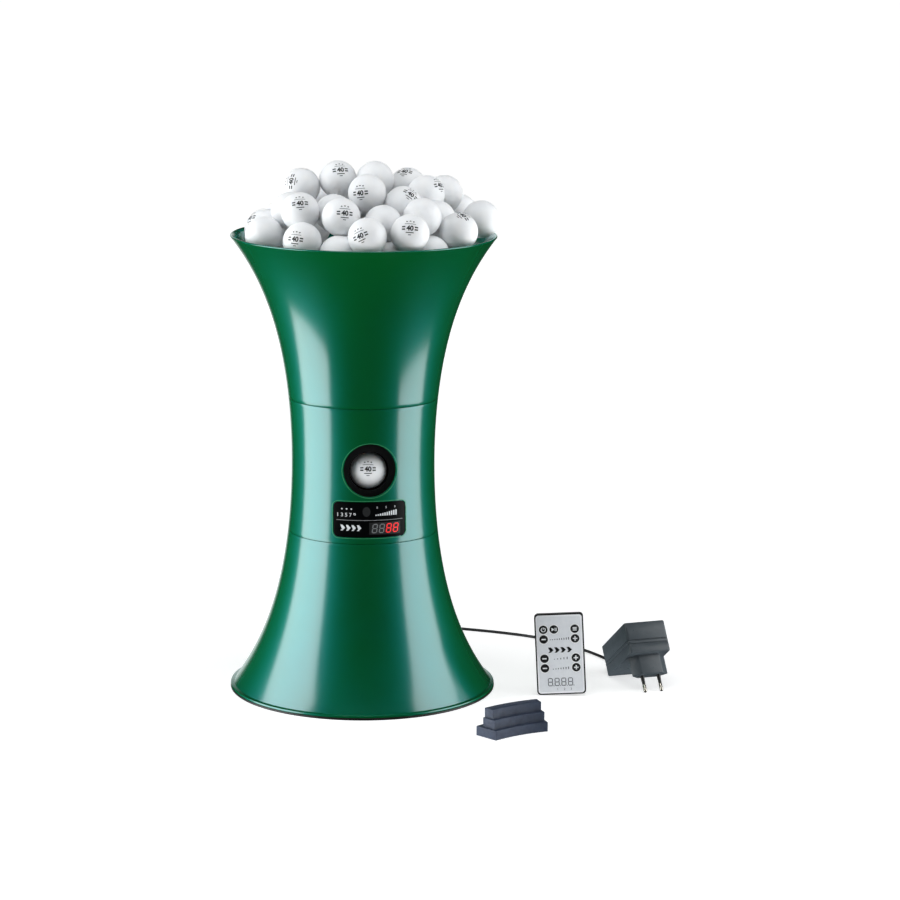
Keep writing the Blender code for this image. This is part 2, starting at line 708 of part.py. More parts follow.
def make_throw_wheels():
    half = WHEEL_WIDTH / 2
    inside = WHEEL_RADIUS - TYRE_DEPTH
    hub_rim = inside - GAP
    bore = SHAFT_RADIUS + GAP
    shaft_end = FRAME_INNER + MOTOR_BOSS - FRAME_PLATE / 2
    for name, side in (("upper", 1), ("lower", -1)):
        place = bpy.data.objects.new(name + "_wheel_axis", None)
        bpy.context.scene.collection.objects.link(place)
        place.location = (0, -WHEEL_SET_BACK, wheel_height(side))
        place.rotation_euler = (0, side * math.pi / 2, 0)
        revolve(name + "_wheel_tyre", [
            (inside, -half), (WHEEL_RADIUS - WHEEL_CROWN, -half), (WHEEL_RADIUS, -half / 2),
            (WHEEL_RADIUS, half / 2), (WHEEL_RADIUS - WHEEL_CROWN, half), (inside, half),
        ], red_rubber(), SMALL_SIDES, place)
        revolve(name + "_wheel_hub", [
            (bore, -half), (hub_rim, -half), (hub_rim, half), (hub_rim - HUB_RIM, half),
            (hub_rim - HUB_RIM, HUB_WEB / 2), (HUB_BOSS, HUB_WEB / 2),
            (HUB_BOSS, FRAME_INNER - FRAME_MARGIN), (bore, FRAME_INNER - FRAME_MARGIN),
        ], grey_plastic(), SMALL_SIDES, place)
        revolve(name + "_wheel_shaft", [
            (0, -half), (SHAFT_RADIUS, -half), (SHAFT_RADIUS, motor_boss_face() - GAP),
            (0, motor_boss_face() - GAP),
        ], steel(), 8, place)
        seat = FRAME_INNER + FRAME_PLATE + GAP
        revolve(name + "_motor", [
            (0, motor_boss_face()), (MOTOR_BOSS_RADIUS, motor_boss_face()),
            (MOTOR_BOSS_RADIUS, seat), (MOTOR_RADIUS, seat),
            (MOTOR_RADIUS, seat + MOTOR_LENGTH), (0, seat + MOTOR_LENGTH),
        ], steel(), SMALL_SIDES, place)


def motor_boss_face():
    return FRAME_INNER + FRAME_PLATE + GAP - MOTOR_BOSS


def chassis_top():
    return LOWER_SEAM + TONGUE_HEIGHT + GAP + CHASSIS_THICK


def make_chassis():
    low = LOWER_SEAM + TONGUE_HEIGHT + GAP
    plate = prism("chassis_plate", circle(inner_radius(low) - 2 * GAP), low, chassis_top(),
                  black_plastic())
    cut(plate, cylinders("cutter_cable_hole", [(CABLE_HOLE_X, CABLE_HOLE_Y, 0)], CABLE_HOLE,
                         low - CHASSIS_THICK, chassis_top() + CHASSIS_THICK))


def side_plate(name, side, wheel, material=None):
    """One upright of the throw frame, round over the motor that it carries."""
    radius = MOTOR_RADIUS + FRAME_MARGIN
    low, middle = chassis_top() + GAP, wheel_height(wheel)
    outline = [(-WHEEL_SET_BACK - radius, low), (-WHEEL_SET_BACK + radius, low)]
    for step in range(9):
        angle = math.pi * step / 8
        outline.append((-WHEEL_SET_BACK + radius * math.cos(angle),
                        middle + radius * math.sin(angle)))
    near, far = side * FRAME_INNER, side * (FRAME_INNER + FRAME_PLATE)
    return prism(name, outline, min(near, far), max(near, far), material, "X")


def make_throw_frame():
    low = chassis_top() + GAP
    half = MOTOR_RADIUS + FRAME_MARGIN
    front, back = -WHEEL_SET_BACK - half, -WHEEL_SET_BACK + half
    frame = side_plate("throw_frame", 1, 1, black_plastic())
    left = side_plate("frame_left", -1, -1)
    span = FRAME_INNER + FRAME_PLATE / 2
    rear_y = -WHEEL_SET_BACK + WHEEL_RADIUS + BRIDGE_CLEAR
    front_y = -WHEEL_SET_BACK - WHEEL_RADIUS - BRIDGE_CLEAR
    rear = box("frame_rear", (-span, rear_y, BRIDGE_LOW),
               (span, rear_y + BRIDGE_THICK, BRIDGE_REAR_TOP), None)
    fore = box("frame_front", (-span, front_y - BRIDGE_THICK, BRIDGE_LOW),
               (span, front_y, BRIDGE_FRONT_TOP), None)
    # Ears carry the bridges past the wheels at both ends of the side plates
    ears = [box("frame_ear_%d%d" % (side > 0, end > 0),
                (min(side * FRAME_INNER, side * (FRAME_INNER + FRAME_PLATE)),
                 front_y - BRIDGE_THICK if end < 0 else back - BRIDGE_THICK, BRIDGE_LOW),
                (max(side * FRAME_INNER, side * (FRAME_INNER + FRAME_PLATE)),
                 front + BRIDGE_THICK if end < 0 else rear_y + BRIDGE_THICK,
                 BRIDGE_FRONT_TOP), None)
            for side in (-1, 1) for end in (-1, 1)]
    feet = [box("frame_foot_%d" % (side > 0),
                (min(side * FRAME_INNER, side * (FRAME_INNER + FRAME_FOOT)), front, low),
                (max(side * FRAME_INNER, side * (FRAME_INNER + FRAME_FOOT)), back,
                 low + FRAME_PLATE), None)
            for side in (-1, 1)]
    join(frame, rear, left, fore, *ears, *feet)
    for side in (1, -1):
        centre = (0, -WHEEL_SET_BACK, wheel_height(side))
        cut(frame, cylinders("cutter_motor_%d" % (side > 0), [centre],
                             MOTOR_BOSS_RADIUS + GAP,
                             min(0.8 * side * FRAME_INNER, 1.3 * side * FRAME_INNER),
                             max(0.8 * side * FRAME_INNER, 1.3 * side * FRAME_INNER),
                             "X", TINY_SIDES))


def make_barrel():
    """Guides the ball out: a slotted tube on a collar that fits the outlet."""
    outside = BARREL_RADIUS + BARREL_WALL
    ring = BARREL_RIM - BARREL_RIM_WALL
    front = 1.2 * WAIST_RADIUS
    barrel = revolve("outlet_barrel", [
        (BARREL_RADIUS, BARREL_BACK), (outside, BARREL_BACK),
        (outside, BARREL_COLLAR - BARREL_FLANGE), (BARREL_RIM, BARREL_COLLAR - BARREL_FLANGE),
        (BARREL_RIM, front), (ring, front), (ring, BARREL_COLLAR),
        (BARREL_RADIUS, BARREL_COLLAR),
    ], black_plastic(), 28)
    barrel.location = (0, 0, barrel_height())
    barrel.rotation_euler = (math.pi / 2, 0, 0)
    heights = housing_levels()
    inside = revolve("housing_inside", [(0, heights[0])]
                     + [(inner_radius(z) - GAP, z) for z in heights] + [(0, heights[-1])], None)
    keep_inside(barrel, inside)
    half = BARREL_SLOT / 2
    cut(barrel, box("cutter_wheel_slots",
                    (-half, BARREL_FLANGE / 2 - BARREL_COLLAR + BARREL_FLANGE,
                     BALL_PATH - 2 * BARREL_RADIUS),
                    (half, -BARREL_BACK / 2, BALL_PATH + 2 * BARREL_RADIUS), None))


def barrel_height():
    """The ball rests on the two edges of the lower slot."""
    half = BARREL_SLOT / 2
    edge = math.sqrt(BARREL_RADIUS ** 2 - half ** 2)
    lift = math.sqrt((BALL_RADIUS + GAP) ** 2 - half ** 2)
    return BALL_PATH + edge - lift


def make_chute():
    """Drops a ball from the deck and turns it forward between the wheels."""
    top = DECK_TOP - DECK_THICK - GAP
    middle = barrel_height()
    bend = Vector((0, POCKET_RING - CHUTE_BEND, middle + CHUTE_BEND))
    arc = [bend + CHUTE_BEND * Vector((0, math.cos(a), -math.sin(a)))
           for a in [math.pi / 2 * step / CHUTE_STEPS for step in range(CHUTE_STEPS + 1)]]
    outside = CHUTE_BORE + CHUTE_WALL
    chute = pipe_solid("ball_chute", [Vector((0, POCKET_RING, top))] + arc, outside, 4,
                       black_plastic())
    collar = cylinders("chute_collar", [(0, POCKET_RING, 0)], CHUTE_COLLAR,
                       top - CHUTE_COLLAR_THICK, top)
    run_out = arc[-1] - Vector((0, 2 * WALL, 0))
    bore = pipe_solid("cutter_chute", [Vector((0, POCKET_RING, top + 2 * WALL))] + arc
                      + [run_out], CHUTE_BORE, 4, None)
    cut(join(chute, collar), bore)


def make_feed():
    under = DECK_TOP - DECK_THICK
    radius = inner_radius(under) * math.cos(math.pi / BODY_SIDES) - DECK_CLEAR
    deck = prism("feed_deck", circle(radius), under, DECK_TOP, black_plastic())
    cut(deck,
        cylinders("cutter_drop_hole", [(0, POCKET_RING, 0)], CHUTE_BORE,
                  under - DECK_THICK, DECK_TOP + DECK_THICK),
        cylinders("cutter_shaft_hole", [(0, 0, 0)], FEED_SHAFT_HOLE,
                  under - DECK_THICK, DECK_TOP + DECK_THICK, sides=TINY_SIDES))

    bore = FEED_SHAFT_RADIUS + GAP
    rounding = [(CONE_RADIUS + (CONE_TIP - CONE_RADIUS) * math.sin(a),
                 DISC_THICK + CONE_HEIGHT * (1 - math.cos(a)) * 0.9)
                for a in [math.pi / 2 * step / 3 for step in range(4)]]
    disc = revolve("feed_disc", [
        (0, FEED_SHAFT_REACH + GAP), (bore, FEED_SHAFT_REACH + GAP), (bore, 0),
        (DISC_RADIUS, 0), (DISC_RADIUS, DISC_THICK), *rounding, (0, DISC_THICK + CONE_HEIGHT),
    ], black_plastic(), 24)
    disc.location = (0, 0, DECK_TOP + DISC_RAISE)
    pockets = [(POCKET_RING * math.cos(a), POCKET_RING * math.sin(a), 0)
               for a in [math.pi / 2 + math.tau * number / POCKET_COUNT
                         for number in range(POCKET_COUNT)]]
    cut(disc, cylinders("cutter_pockets", pockets, POCKET_RADIUS, -DISC_THICK,
                        2 * DISC_THICK, sides=14, parent=disc))

    seat = under - GAP
    shaft = revolve("feed_shaft", [
        (0, 0), (FEED_SHAFT_RADIUS, 0),
        (FEED_SHAFT_RADIUS, DECK_TOP + DISC_RAISE + FEED_SHAFT_REACH - seat - GAP),
        (0, DECK_TOP + DISC_RAISE + FEED_SHAFT_REACH - seat - GAP),
    ], steel(), 8)
    shaft.location = (0, 0, seat + GAP)
    revolve("feed_motor", [
        (0, seat), (GEARBOX_RADIUS, seat), (GEARBOX_RADIUS, seat - GEARBOX_LENGTH),
        (FEED_MOTOR_RADIUS, seat - GEARBOX_LENGTH),
        (FEED_MOTOR_RADIUS, seat - GEARBOX_LENGTH - FEED_MOTOR_LENGTH),
        (0, seat - GEARBOX_LENGTH - FEED_MOTOR_LENGTH),
    ], steel(), SMALL_SIDES)


def make_hopper():
    low = UPPER_SEAM + GAP / 2
    under = DECK_TOP - DECK_THICK - GAP
    near_rim = BODY_HEIGHT - RIM_ROUND
    outer = [(outer_radius(z), z) for z in flare_levels(low, near_rim, 6)]
    inner = [(inner_radius(z), z) for z in flare_levels(under, near_rim, 4)[::-1]]
    ledge = inner_radius(under) - LEDGE_WIDTH
    below = under - LEDGE_THICK - LEDGE_GUSSET
    lower = [(inner_radius(z), z) for z in (below, low)]
    rim = [(outer_radius(BODY_HEIGHT) - RIM_ROUND / 2, BODY_HEIGHT),
           (inner_radius(BODY_HEIGHT) + RIM_ROUND, BODY_HEIGHT)]
    revolve("hopper_shell", outer + rim + inner
            + [(ledge, under), (ledge, under - LEDGE_THICK)] + lower, green_plastic())


def off_the_wall(centres):
    """Moves the balls that reach into the hopper's wall out of it."""
    facet = math.cos(math.pi / BODY_SIDES)
    wall = np.array([(inner_radius(z) * facet, z) for z in levels(DECK_TOP, BODY_HEIGHT, 200)])
    radius = np.hypot(centres[:, 0], centres[:, 1])
    away = np.stack([radius, centres[:, 2]], axis=1)[:, None] - wall
    apart = np.hypot(away[..., 0], away[..., 1])
    nearest = apart.argmin(axis=1)
    row = np.arange(len(centres))
    near = apart[row, nearest]
    push = (np.maximum(BALL_RADIUS - HEAP_NEST / 2 - near, 0) / near)[:, None] * away[row, nearest]
    centres[:, :2] += centres[:, :2] * (push[:, 0] / radius)[:, None]
    centres[:, 2] += push[:, 1]


def settled_heap():
    """Centres of the balls in each row, settled from the rough places.

    Each pass moves apart the balls that overlap, brings neighbours in a row to
    their bite, keeps all of them off the wall and draws them back towards their
    rough places, less and less.
    """
    rough = np.array([place for row in HEAP_ROWS for place in row]) * BALL_DIAMETER
    rough[:, 2] += BODY_HEIGHT
    ends = np.cumsum([len(row) for row in HEAP_ROWS])
    first, second = np.triu_indices(len(rough), 1)
    in_row = (second == first + 1) & ~np.isin(second, ends)
    wanted = np.where(in_row, BALL_DIAMETER - HEAP_BITE, BALL_DIAMETER - HEAP_NEST)
    centres = rough.copy()
    for number in range(HEAP_PASSES):
        apart = centres[second] - centres[first]
        length = np.linalg.norm(apart, axis=1)
        error = np.where(in_row, length - wanted, np.minimum(length - wanted, 0))
        move = apart * (0.25 * error / length)[:, None]
        np.add.at(centres, first, move)
        np.add.at(centres, second, -move)
        off_the_wall(centres)
        pull = HEAP_PULL * max(0.0, 1 - 2 * number / HEAP_PASSES)
        centres += pull * (rough - centres)
    length = np.linalg.norm(centres[second] - centres[first], axis=1)
    print("heap: balls of two rows are %.2f mm apart or more, middle to middle"
          % (1000 * length[~in_row].min()))
    return [[Vector(centre) for centre in part] for part in np.split(centres, ends[:-1])]


def ball_row(name, centres):
    """A row of balls that share a small bite, as one skin.

    Each ball is a stack of circles, whose planes turn from the bite with the ball
    before to the bite with the ball after, and the end balls close at a pole.
    """
    work = bmesh.new()
    ways = [b - a for a, b in zip(centres, centres[1:])]
    bite = math.asin(ways[0].length / BALL_DIAMETER)
    side = ways[0].orthogonal().normalized()
    rings = []
    for number, centre in enumerate(centres):
        behind = ways[max(number - 1, 0)].normalized()
        ahead = ways[min(number, len(ways) - 1)].normalized()
        start = -bite if number else -math.pi / 2
        last = number == len(ways)
        end = math.pi / 2 if last else bite
        turn = behind.rotation_difference(ahead)
        for step in range(ROW_STEPS + last):
            share = step / ROW_STEPS
            part = turn.copy()
            part.angle = turn.angle * share
            normal = part @ behind
            angle = start + (end - start) * share
            side = (side - normal * side.dot(normal)).normalized()
            up = normal.cross(side)
            middle = centre + BALL_RADIUS * math.sin(angle) * normal
            wide = BALL_RADIUS * math.cos(angle)
            count = 1 if wide < WELD else ROW_SIDES
            rings.append([work.verts.new(middle + wide * (math.cos(a) * side + math.sin(a) * up))
                          for a in [math.tau * k / count for k in range(count)]])
    for here, there in zip(rings, rings[1:]):
        for k in range(ROW_SIDES):
            corners = [here[k % len(here)], here[(k + 1) % len(here)],
                       there[(k + 1) % len(there)], there[k % len(there)]]
            work.faces.new(list(dict.fromkeys(corners)))
    return node(name, mesh_from(name, work), ball_plastic())


def ball(name, centre):
    work = bmesh.new()
    bmesh.ops.create_uvsphere(work, u_segments=BALL_SEGMENTS, v_segments=BALL_RINGS,
                              radius=BALL_RADIUS)
    made = node(name, mesh_from(name, work), ball_plastic())
    made.location = centre
    return made


def make_balls():
    for number, centres in enumerate(settled_heap(), 1):
        name = "heap_balls_%d" % number
        if len(centres) > 1:
            ball_row(name, centres)
        else:
            ball(name, centres[0])
    ball("outlet_ball", (0, -BALL_SET_BACK, BALL_PATH))


def handset_place():
    """The handset's frame: X to its right, Z up its face, Y into it."""
    place = bpy.data.objects.new("handset_place", None)
    bpy.context.scene.collection.objects.link(place)
    turn = (Matrix.Rotation(HANDSET_YAW, 4, "Z") @ Matrix.Rotation(-HANDSET_LEAN, 4, "X")
            @ Matrix.Rotation(-HANDSET_ROLL, 4, "Y"))
    outline = rounded_rectangle(HANDSET_WIDTH, HANDSET_HEIGHT, HANDSET_CORNER,
                                (0, HANDSET_HEIGHT / 2))
    lowest = min((turn @ Vector((x, y, z))).z
                 for x, z in outline for y in (0, HANDSET_THICK))
    place.matrix_world = Matrix.Translation((HANDSET_X, HANDSET_Y, -lowest)) @ turn
    return place


def key_places():
    """The nine keys, row by row from the top left, as (x, height) on the face."""
    left = -HANDSET_WIDTH / 2 + KEY_LEFT
    second = -HANDSET_WIDTH / 2 + KEY_SECOND
    right = HANDSET_WIDTH / 2 - KEY_RIGHT
    rows = [HANDSET_HEIGHT - KEY_TOP - KEY_PITCH * number for number in (0, 1, 3, 4)]
    places = [(left, rows[0]), (second, rows[0]), (right, rows[0])]
    for row in rows[1:]:
        places += [(left, row), (right, row)]
    return places


def make_handset():
    place = handset_place()
    middle = (0, HANDSET_HEIGHT / 2)
    case = prism("handset_case",
                 rounded_rectangle(HANDSET_WIDTH, HANDSET_HEIGHT, HANDSET_CORNER, middle),
                 0, HANDSET_THICK, black_plastic(), "Y", place)
    seat = rounded_rectangle(HANDSET_WIDTH - 2 * FACE_BORDER, HANDSET_HEIGHT - 2 * FACE_BORDER,
                             FACE_CORNER, middle)
    board_width = HANDSET_WIDTH - 2 * HANDSET_BOARD_INSET
    board_height = HANDSET_HEIGHT - 2 * HANDSET_BOARD_INSET
    room = rounded_rectangle(board_width, board_height, FACE_CORNER / 2, middle)
    board_back = HANDSET_BOARD_DEPTH + HANDSET_BOARD_THICK
    tray_right = HANDSET_WIDTH / 2
    cut(case,
        prism("cutter_face_seat", seat, -FACE_THICK, FACE_THICK + GAP, None, "Y", place),
        prism("cutter_board_room", room, 0, board_back + GAP, None, "Y", place),
        box("cutter_tray_slot",
            (tray_right - TRAY_REACH - GAP, TRAY_DEPTH - GAP, TRAY_UP - TRAY_WIDTH / 2 - GAP),
            (tray_right + WALL, TRAY_DEPTH + TRAY_THICK + GAP, TRAY_UP + TRAY_WIDTH / 2 + GAP),
            None, place))

    face = prism("handset_face",
                 rounded_rectangle(HANDSET_WIDTH - 2 * FACE_BORDER - 2 * GAP,
                                   HANDSET_HEIGHT - 2 * FACE_BORDER - 2 * GAP,
                                   FACE_CORNER - GAP, middle),
                 0, FACE_THICK, white_face(), "Y", place)
    holes = [(x, 0, z) for x, z in key_places()]
    cut(face, cylinders("cutter_key_holes", holes, KEY_RADIUS + GAP, -FACE_THICK,
                        2 * FACE_THICK, "Y", TINY_SIDES, place))
    for number, (x, z) in enumerate(key_places(), 1):
        key = revolve("handset_key_%d" % number, [
            (0, 0), (KEY_RADIUS, 0), (KEY_RADIUS, HANDSET_BOARD_DEPTH + KEY_PROUD - KEY_TRAVEL - GAP),
            (0, HANDSET_BOARD_DEPTH + KEY_PROUD - KEY_TRAVEL - GAP),
        ], black_rubber(), TINY_SIDES, place)
        key.location = (x, -KEY_PROUD, z)
        key.rotation_euler = (-math.pi / 2, 0, 0)

    prism("handset_board",
          rounded_rectangle(board_width - 2 * GAP, board_height - 2 * GAP, FACE_CORNER / 2 - GAP,
                            middle, 2),
          HANDSET_BOARD_DEPTH, board_back, green_board(), "Y", place)
    tray = box("battery_tray", (tray_right - TRAY_REACH, TRAY_DEPTH, TRAY_UP - TRAY_WIDTH / 2),
               (tray_right, TRAY_DEPTH + TRAY_THICK, TRAY_UP + TRAY_WIDTH / 2),
               black_plastic(), place)
    cell = (tray_right - CELL_INSET, 0, TRAY_UP)
    floor = TRAY_DEPTH + TRAY_THICK - CELL_THICK - GAP
    cut(tray, cylinders("cutter_cell_seat", [cell], CELL_RADIUS + GAP, floor - GAP,
                        TRAY_DEPTH + 2 * TRAY_THICK, "Y", parent=place))
    coin = revolve("coin_cell", [(0, 0), (CELL_RADIUS, 0), (CELL_RADIUS, CELL_THICK),
                                 (0, CELL_THICK)], nickel(), SMALL_SIDES, place)
    coin.location = (cell[0], floor, cell[2])
    coin.rotation_euler = (-math.pi / 2, 0, 0)


def riser_layer(name, number, material=None):
    """One step: a part of a ring, shorter and narrower than the step below."""
    inside = RISER_RADIUS + RISER_TREAD * number
    outside = RISER_RADIUS + RISER_TREAD * (RISER_STEPS - 1) + RISER_TOP
    if number == 0:
        outside += RISER_LEDGE
    low = max(0.0, RISER_STEP_HEIGHT * (number - 0.5))
    high = RISER_STEP_HEIGHT * (number + 1)
    half = math.asin((RISER_CHORD / 2 - RISER_END_INSET * number) / RISER_RADIUS)
    outline = [(inside, low), (outside, low), (outside, high), (inside, high)]
    return sector(name, outline, material, math.pi / 2 - half, 2 * half, RISER_FACETS)


def make_riser():
    riser = riser_layer("riser_block", 0, slate_rubber())
    layers = [riser_layer("riser_step_%d" % number, number) for number in range(1, RISER_STEPS)]
    turn = Matrix.Rotation(RISER_YAW, 4, "Z")
    for obj in [riser, *layers]:
        obj.matrix_world = (Matrix.Translation((RISER_X, RISER_Y, 0)) @ turn
                            @ Matrix.Translation((0, -RISER_RADIUS, 0)))
    join(riser, *layers)


def adapter_tilt():
    """Tips the adapter so that its round pin tips and its rear lower edge both
    touch the floor."""
    reach = EURO_REACH + PIN_LENGTH - PIN_RADIUS
    return (math.atan2(reach, EURO_FROM_REAR)
            + math.asin(PIN_RADIUS / math.hypot(reach, EURO_FROM_REAR)))


def adapter_place():
    """The adapter's frame: X across it, Y to its rear, Z away from the plug face."""
    place = bpy.data.objects.new("adapter_place", None)
    bpy.context.scene.collection.objects.link(place)
    turn = (Matrix.Rotation(ADAPTER_YAW, 4, "Z") @ Matrix.Rotation(-adapter_tilt(), 4, "X"))
    across = turn @ Vector((ADAPTER_WIDTH / 2, 0, 0))
    place.matrix_world = Matrix.Translation(Vector((ADAPTER_X, ADAPTER_Y, 0)) + across) @ turn
    return place


def make_adapter():
    place = adapter_place()
    outline = rounded_rectangle(ADAPTER_WIDTH, ADAPTER_LENGTH, ADAPTER_CORNER,
                                (0, -ADAPTER_LENGTH / 2), 3)
    cover = prism("adapter_cover", outline, ADAPTER_SPLIT + GAP, ADAPTER_HEIGHT,
                  black_plastic(), parent=place)
    soften = cover.modifiers.new("edges", "BEVEL")
    soften.width = ADAPTER_EDGE
    soften.segments = 2
    soften.limit_method = "ANGLE"
    soften.angle_limit = math.radians(60)

    back = prism("adapter_back", outline, 0, ADAPTER_SPLIT, black_plastic(), parent=place)
    middle = -EURO_FROM_REAR
    half_flat, half_wide, half_deep = EURO_FLAT / 2, EURO_WIDTH / 2, EURO_DEPTH / 2
    block = prism("plug_block", [
        (half_flat, middle - half_deep), (half_wide, middle), (half_flat, middle + half_deep),
        (-half_flat, middle + half_deep), (-half_wide, middle), (-half_flat, middle - half_deep),
    ], -EURO_REACH, ADAPTER_SPLIT / 2, None, parent=place)
    seats = [(side * PIN_SPACING / 2, middle, 0) for side in (-1, 1)]
    cut(join(back, block),
        cylinders("cutter_pin_seats", seats, PIN_RADIUS + GAP, -EURO_REACH - PIN_SEAT,
                  -EURO_REACH + PIN_SEAT, sides=TINY_SIDES, parent=place))
    for name, (x, y, _) in zip(("adapter_pin_left", "adapter_pin_right"), seats):
        tip = [(PIN_RADIUS * math.sin(a), PIN_RADIUS * (1 - math.cos(a)))
               for a in [math.pi / 2 * step / 3 for step in range(4)]]
        pin = revolve(name, tip + [(PIN_RADIUS, PIN_LENGTH + PIN_SEAT - GAP),
                                   (0, PIN_LENGTH + PIN_SEAT - GAP)], nickel(), 12, place)
        pin.location = (x, y, -EURO_REACH - PIN_LENGTH)

    relief = revolve("adapter_relief", [
        (0, GAP), (RELIEF_RADIUS, GAP), (RELIEF_RADIUS, RELIEF_LENGTH * 0.3),
        (RELIEF_TIP, RELIEF_LENGTH), (0, RELIEF_LENGTH),
    ], black_rubber(), TINY_SIDES, place)
    relief.location = (0, 0, ADAPTER_SPLIT)
    relief.rotation_euler = (-math.pi / 2, 0, 0)


def coil_points():
    """The put-away length: in over the lower layer, up a layer and out again."""
    inmost = COIL_MEAN_RADIUS - COIL_PITCH * COIL_TURNS_IN / 2
    points = []
    climb = 0.5
    turns = COIL_TURNS_IN + climb + COIL_TURNS_OUT
    count = round(turns * COIL_LOOP_POINTS)
    for number in range(count + 1):
        turn = turns * number / count
        up = min(max((turn - COIL_TURNS_IN) / climb, 0.0), 1.0)
        if turn <= COIL_TURNS_IN:
            radius = inmost + COIL_PITCH * (COIL_TURNS_IN - turn)
        else:
            radius = inmost + COIL_PITCH * max(turn - COIL_TURNS_IN - climb, 0.0)
        angle = math.pi - math.tau * turn
        points.append(Vector((COIL_X + radius * math.cos(angle),
                              COIL_Y + radius * math.sin(angle),
                              floor_height() + COIL_PITCH * up)))
    return points


def floor_height():
    return CORD_RADIUS + GAP / 2


def make_cord():
    rubber = black_rubber()
    face = socket_face()
    plug = revolve("dc_plug", [
        (0, 0), (PLUG_RADIUS, 0), (PLUG_RADIUS, PLUG_LENGTH),
        (CORD_RADIUS + GAP, PLUG_LENGTH + PLUG_TAPER), (0, PLUG_LENGTH + PLUG_TAPER),
    ], rubber, TINY_SIDES)
    plug.location = (0, face + GAP, SOCKET_HEIGHT)
    plug.rotation_euler = (-math.pi / 2, 0, 0)
    tip = revolve("plug_barrel", [
        (BARREL_PLUG_BORE, -BARREL_PLUG_LENGTH), (BARREL_PLUG_RADIUS, -BARREL_PLUG_LENGTH),
        (BARREL_PLUG_RADIUS, PLUG_LENGTH / 2), (BARREL_PLUG_BORE, PLUG_LENGTH / 2),
    ], None, TINY_SIDES)
    tip.location = plug.location
    tip.rotation_euler = plug.rotation_euler
    bore = cylinders("cutter_plug_bore", [(0, 0, 0)], BARREL_PLUG_BORE, -BARREL_PLUG_LENGTH,
                     PLUG_LENGTH / 4, sides=TINY_SIDES, parent=plug)
    cut(join(plug, tip), bore)

    coil = coil_points()
    print("cord_coil: least gap to itself %.2f mm"
          % (1000 * least_gap(coil, CORD_DIAMETER, COIL_LOOP_POINTS // 2)))
    pipe("cord_coil", coil, CORD_RADIUS, 1, rubber)

    step = CORD_POINT_STEP * CORD_DIAMETER
    pipe("cord_to_coil", smooth_route(CORD_TO_COIL, step), CORD_RADIUS, 2, rubber)
    pipe("cord_to_adapter", smooth_route(CORD_TO_ADAPTER, step), CORD_RADIUS, 2, rubber)


def main():
    clear_scene()
    make_base()
    make_power_board()
    make_middle()
    make_display_board()
    make_chassis()
    make_throw_frame()
    make_throw_wheels()
    make_barrel()
    make_chute()
    make_feed()
    make_hopper()
    make_balls()
    make_handset()
    make_riser()
    make_adapter()
    make_cord()


main()
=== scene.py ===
import math

import bmesh
import bpy
import numpy as np
from mathutils import Matrix, Vector


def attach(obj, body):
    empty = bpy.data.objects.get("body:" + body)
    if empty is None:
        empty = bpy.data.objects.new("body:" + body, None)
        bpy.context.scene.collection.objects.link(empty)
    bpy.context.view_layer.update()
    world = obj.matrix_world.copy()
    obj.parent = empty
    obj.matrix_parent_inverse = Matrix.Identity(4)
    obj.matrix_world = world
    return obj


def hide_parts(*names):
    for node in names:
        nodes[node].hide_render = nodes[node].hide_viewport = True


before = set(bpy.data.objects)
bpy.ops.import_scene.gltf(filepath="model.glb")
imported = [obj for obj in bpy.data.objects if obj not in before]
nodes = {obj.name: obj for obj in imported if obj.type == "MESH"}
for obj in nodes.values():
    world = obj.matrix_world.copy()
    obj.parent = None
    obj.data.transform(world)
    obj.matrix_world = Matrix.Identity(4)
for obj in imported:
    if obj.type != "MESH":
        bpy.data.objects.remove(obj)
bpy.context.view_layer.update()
robot = "robot"
tau = math.tau


# Camera, fitted to the photograph

view = {
    "place": (-0.3084, -3.1600, 0.8937),
    "aim": (0.12415, 0.97276, -0.19579),
    "roll": 0.504,
    "lens": 120.75,
    "sensor": 36.0,
    "shift": (-0.0011, 0.0),
    "clip": (0.01, 100),
    "pixels": 900,
}


def added(name, data):
    made = bpy.data.objects.new(name, data)
    bpy.context.scene.collection.objects.link(made)
    return made


def makeCamera():
    data = bpy.data.cameras.new("camera")
    data.lens = view["lens"]
    data.sensor_width = view["sensor"]
    data.shift_x, data.shift_y = view["shift"]
    data.clip_start, data.clip_end = view["clip"]
    camera = added("camera", data)
    aim = Vector(view["aim"]).normalized()
    right = aim.cross(Vector((0, 0, 1))).normalized()
    up = right.cross(aim)
    turn = math.radians(view["roll"])
    across = right * math.cos(turn) + up * math.sin(turn)
    above = up * math.cos(turn) - right * math.sin(turn)
    axes = Matrix((across, above, -aim)).transposed()
    camera.matrix_world = Matrix.Translation(view["place"]) @ axes.to_4x4()
    bpy.context.scene.camera = camera


# Colours and materials

def linear(code):
    parts = [int(code[at:at + 2], 16) / 255 for at in (1, 3, 5)]
    return tuple(p / 12.92 if p <= 0.04045 else ((p + 0.055) / 1.055) ** 2.4 for p in parts)


def rgba(code):
    return (*linear(code), 1.0)


def addNode(tree, kind, sockets=None, **settings):
    # One node with its settings; a socket takes a constant, or the output that feeds it
    made = tree.nodes.new("ShaderNode" + kind)
    for name, value in settings.items():
        setattr(made, name, value)
    for name, value in (sockets or {}).items():
        if isinstance(value, bpy.types.NodeSocket):
            tree.links.new(value, made.inputs[name])
        else:
            made.inputs[name].default_value = value
    return made


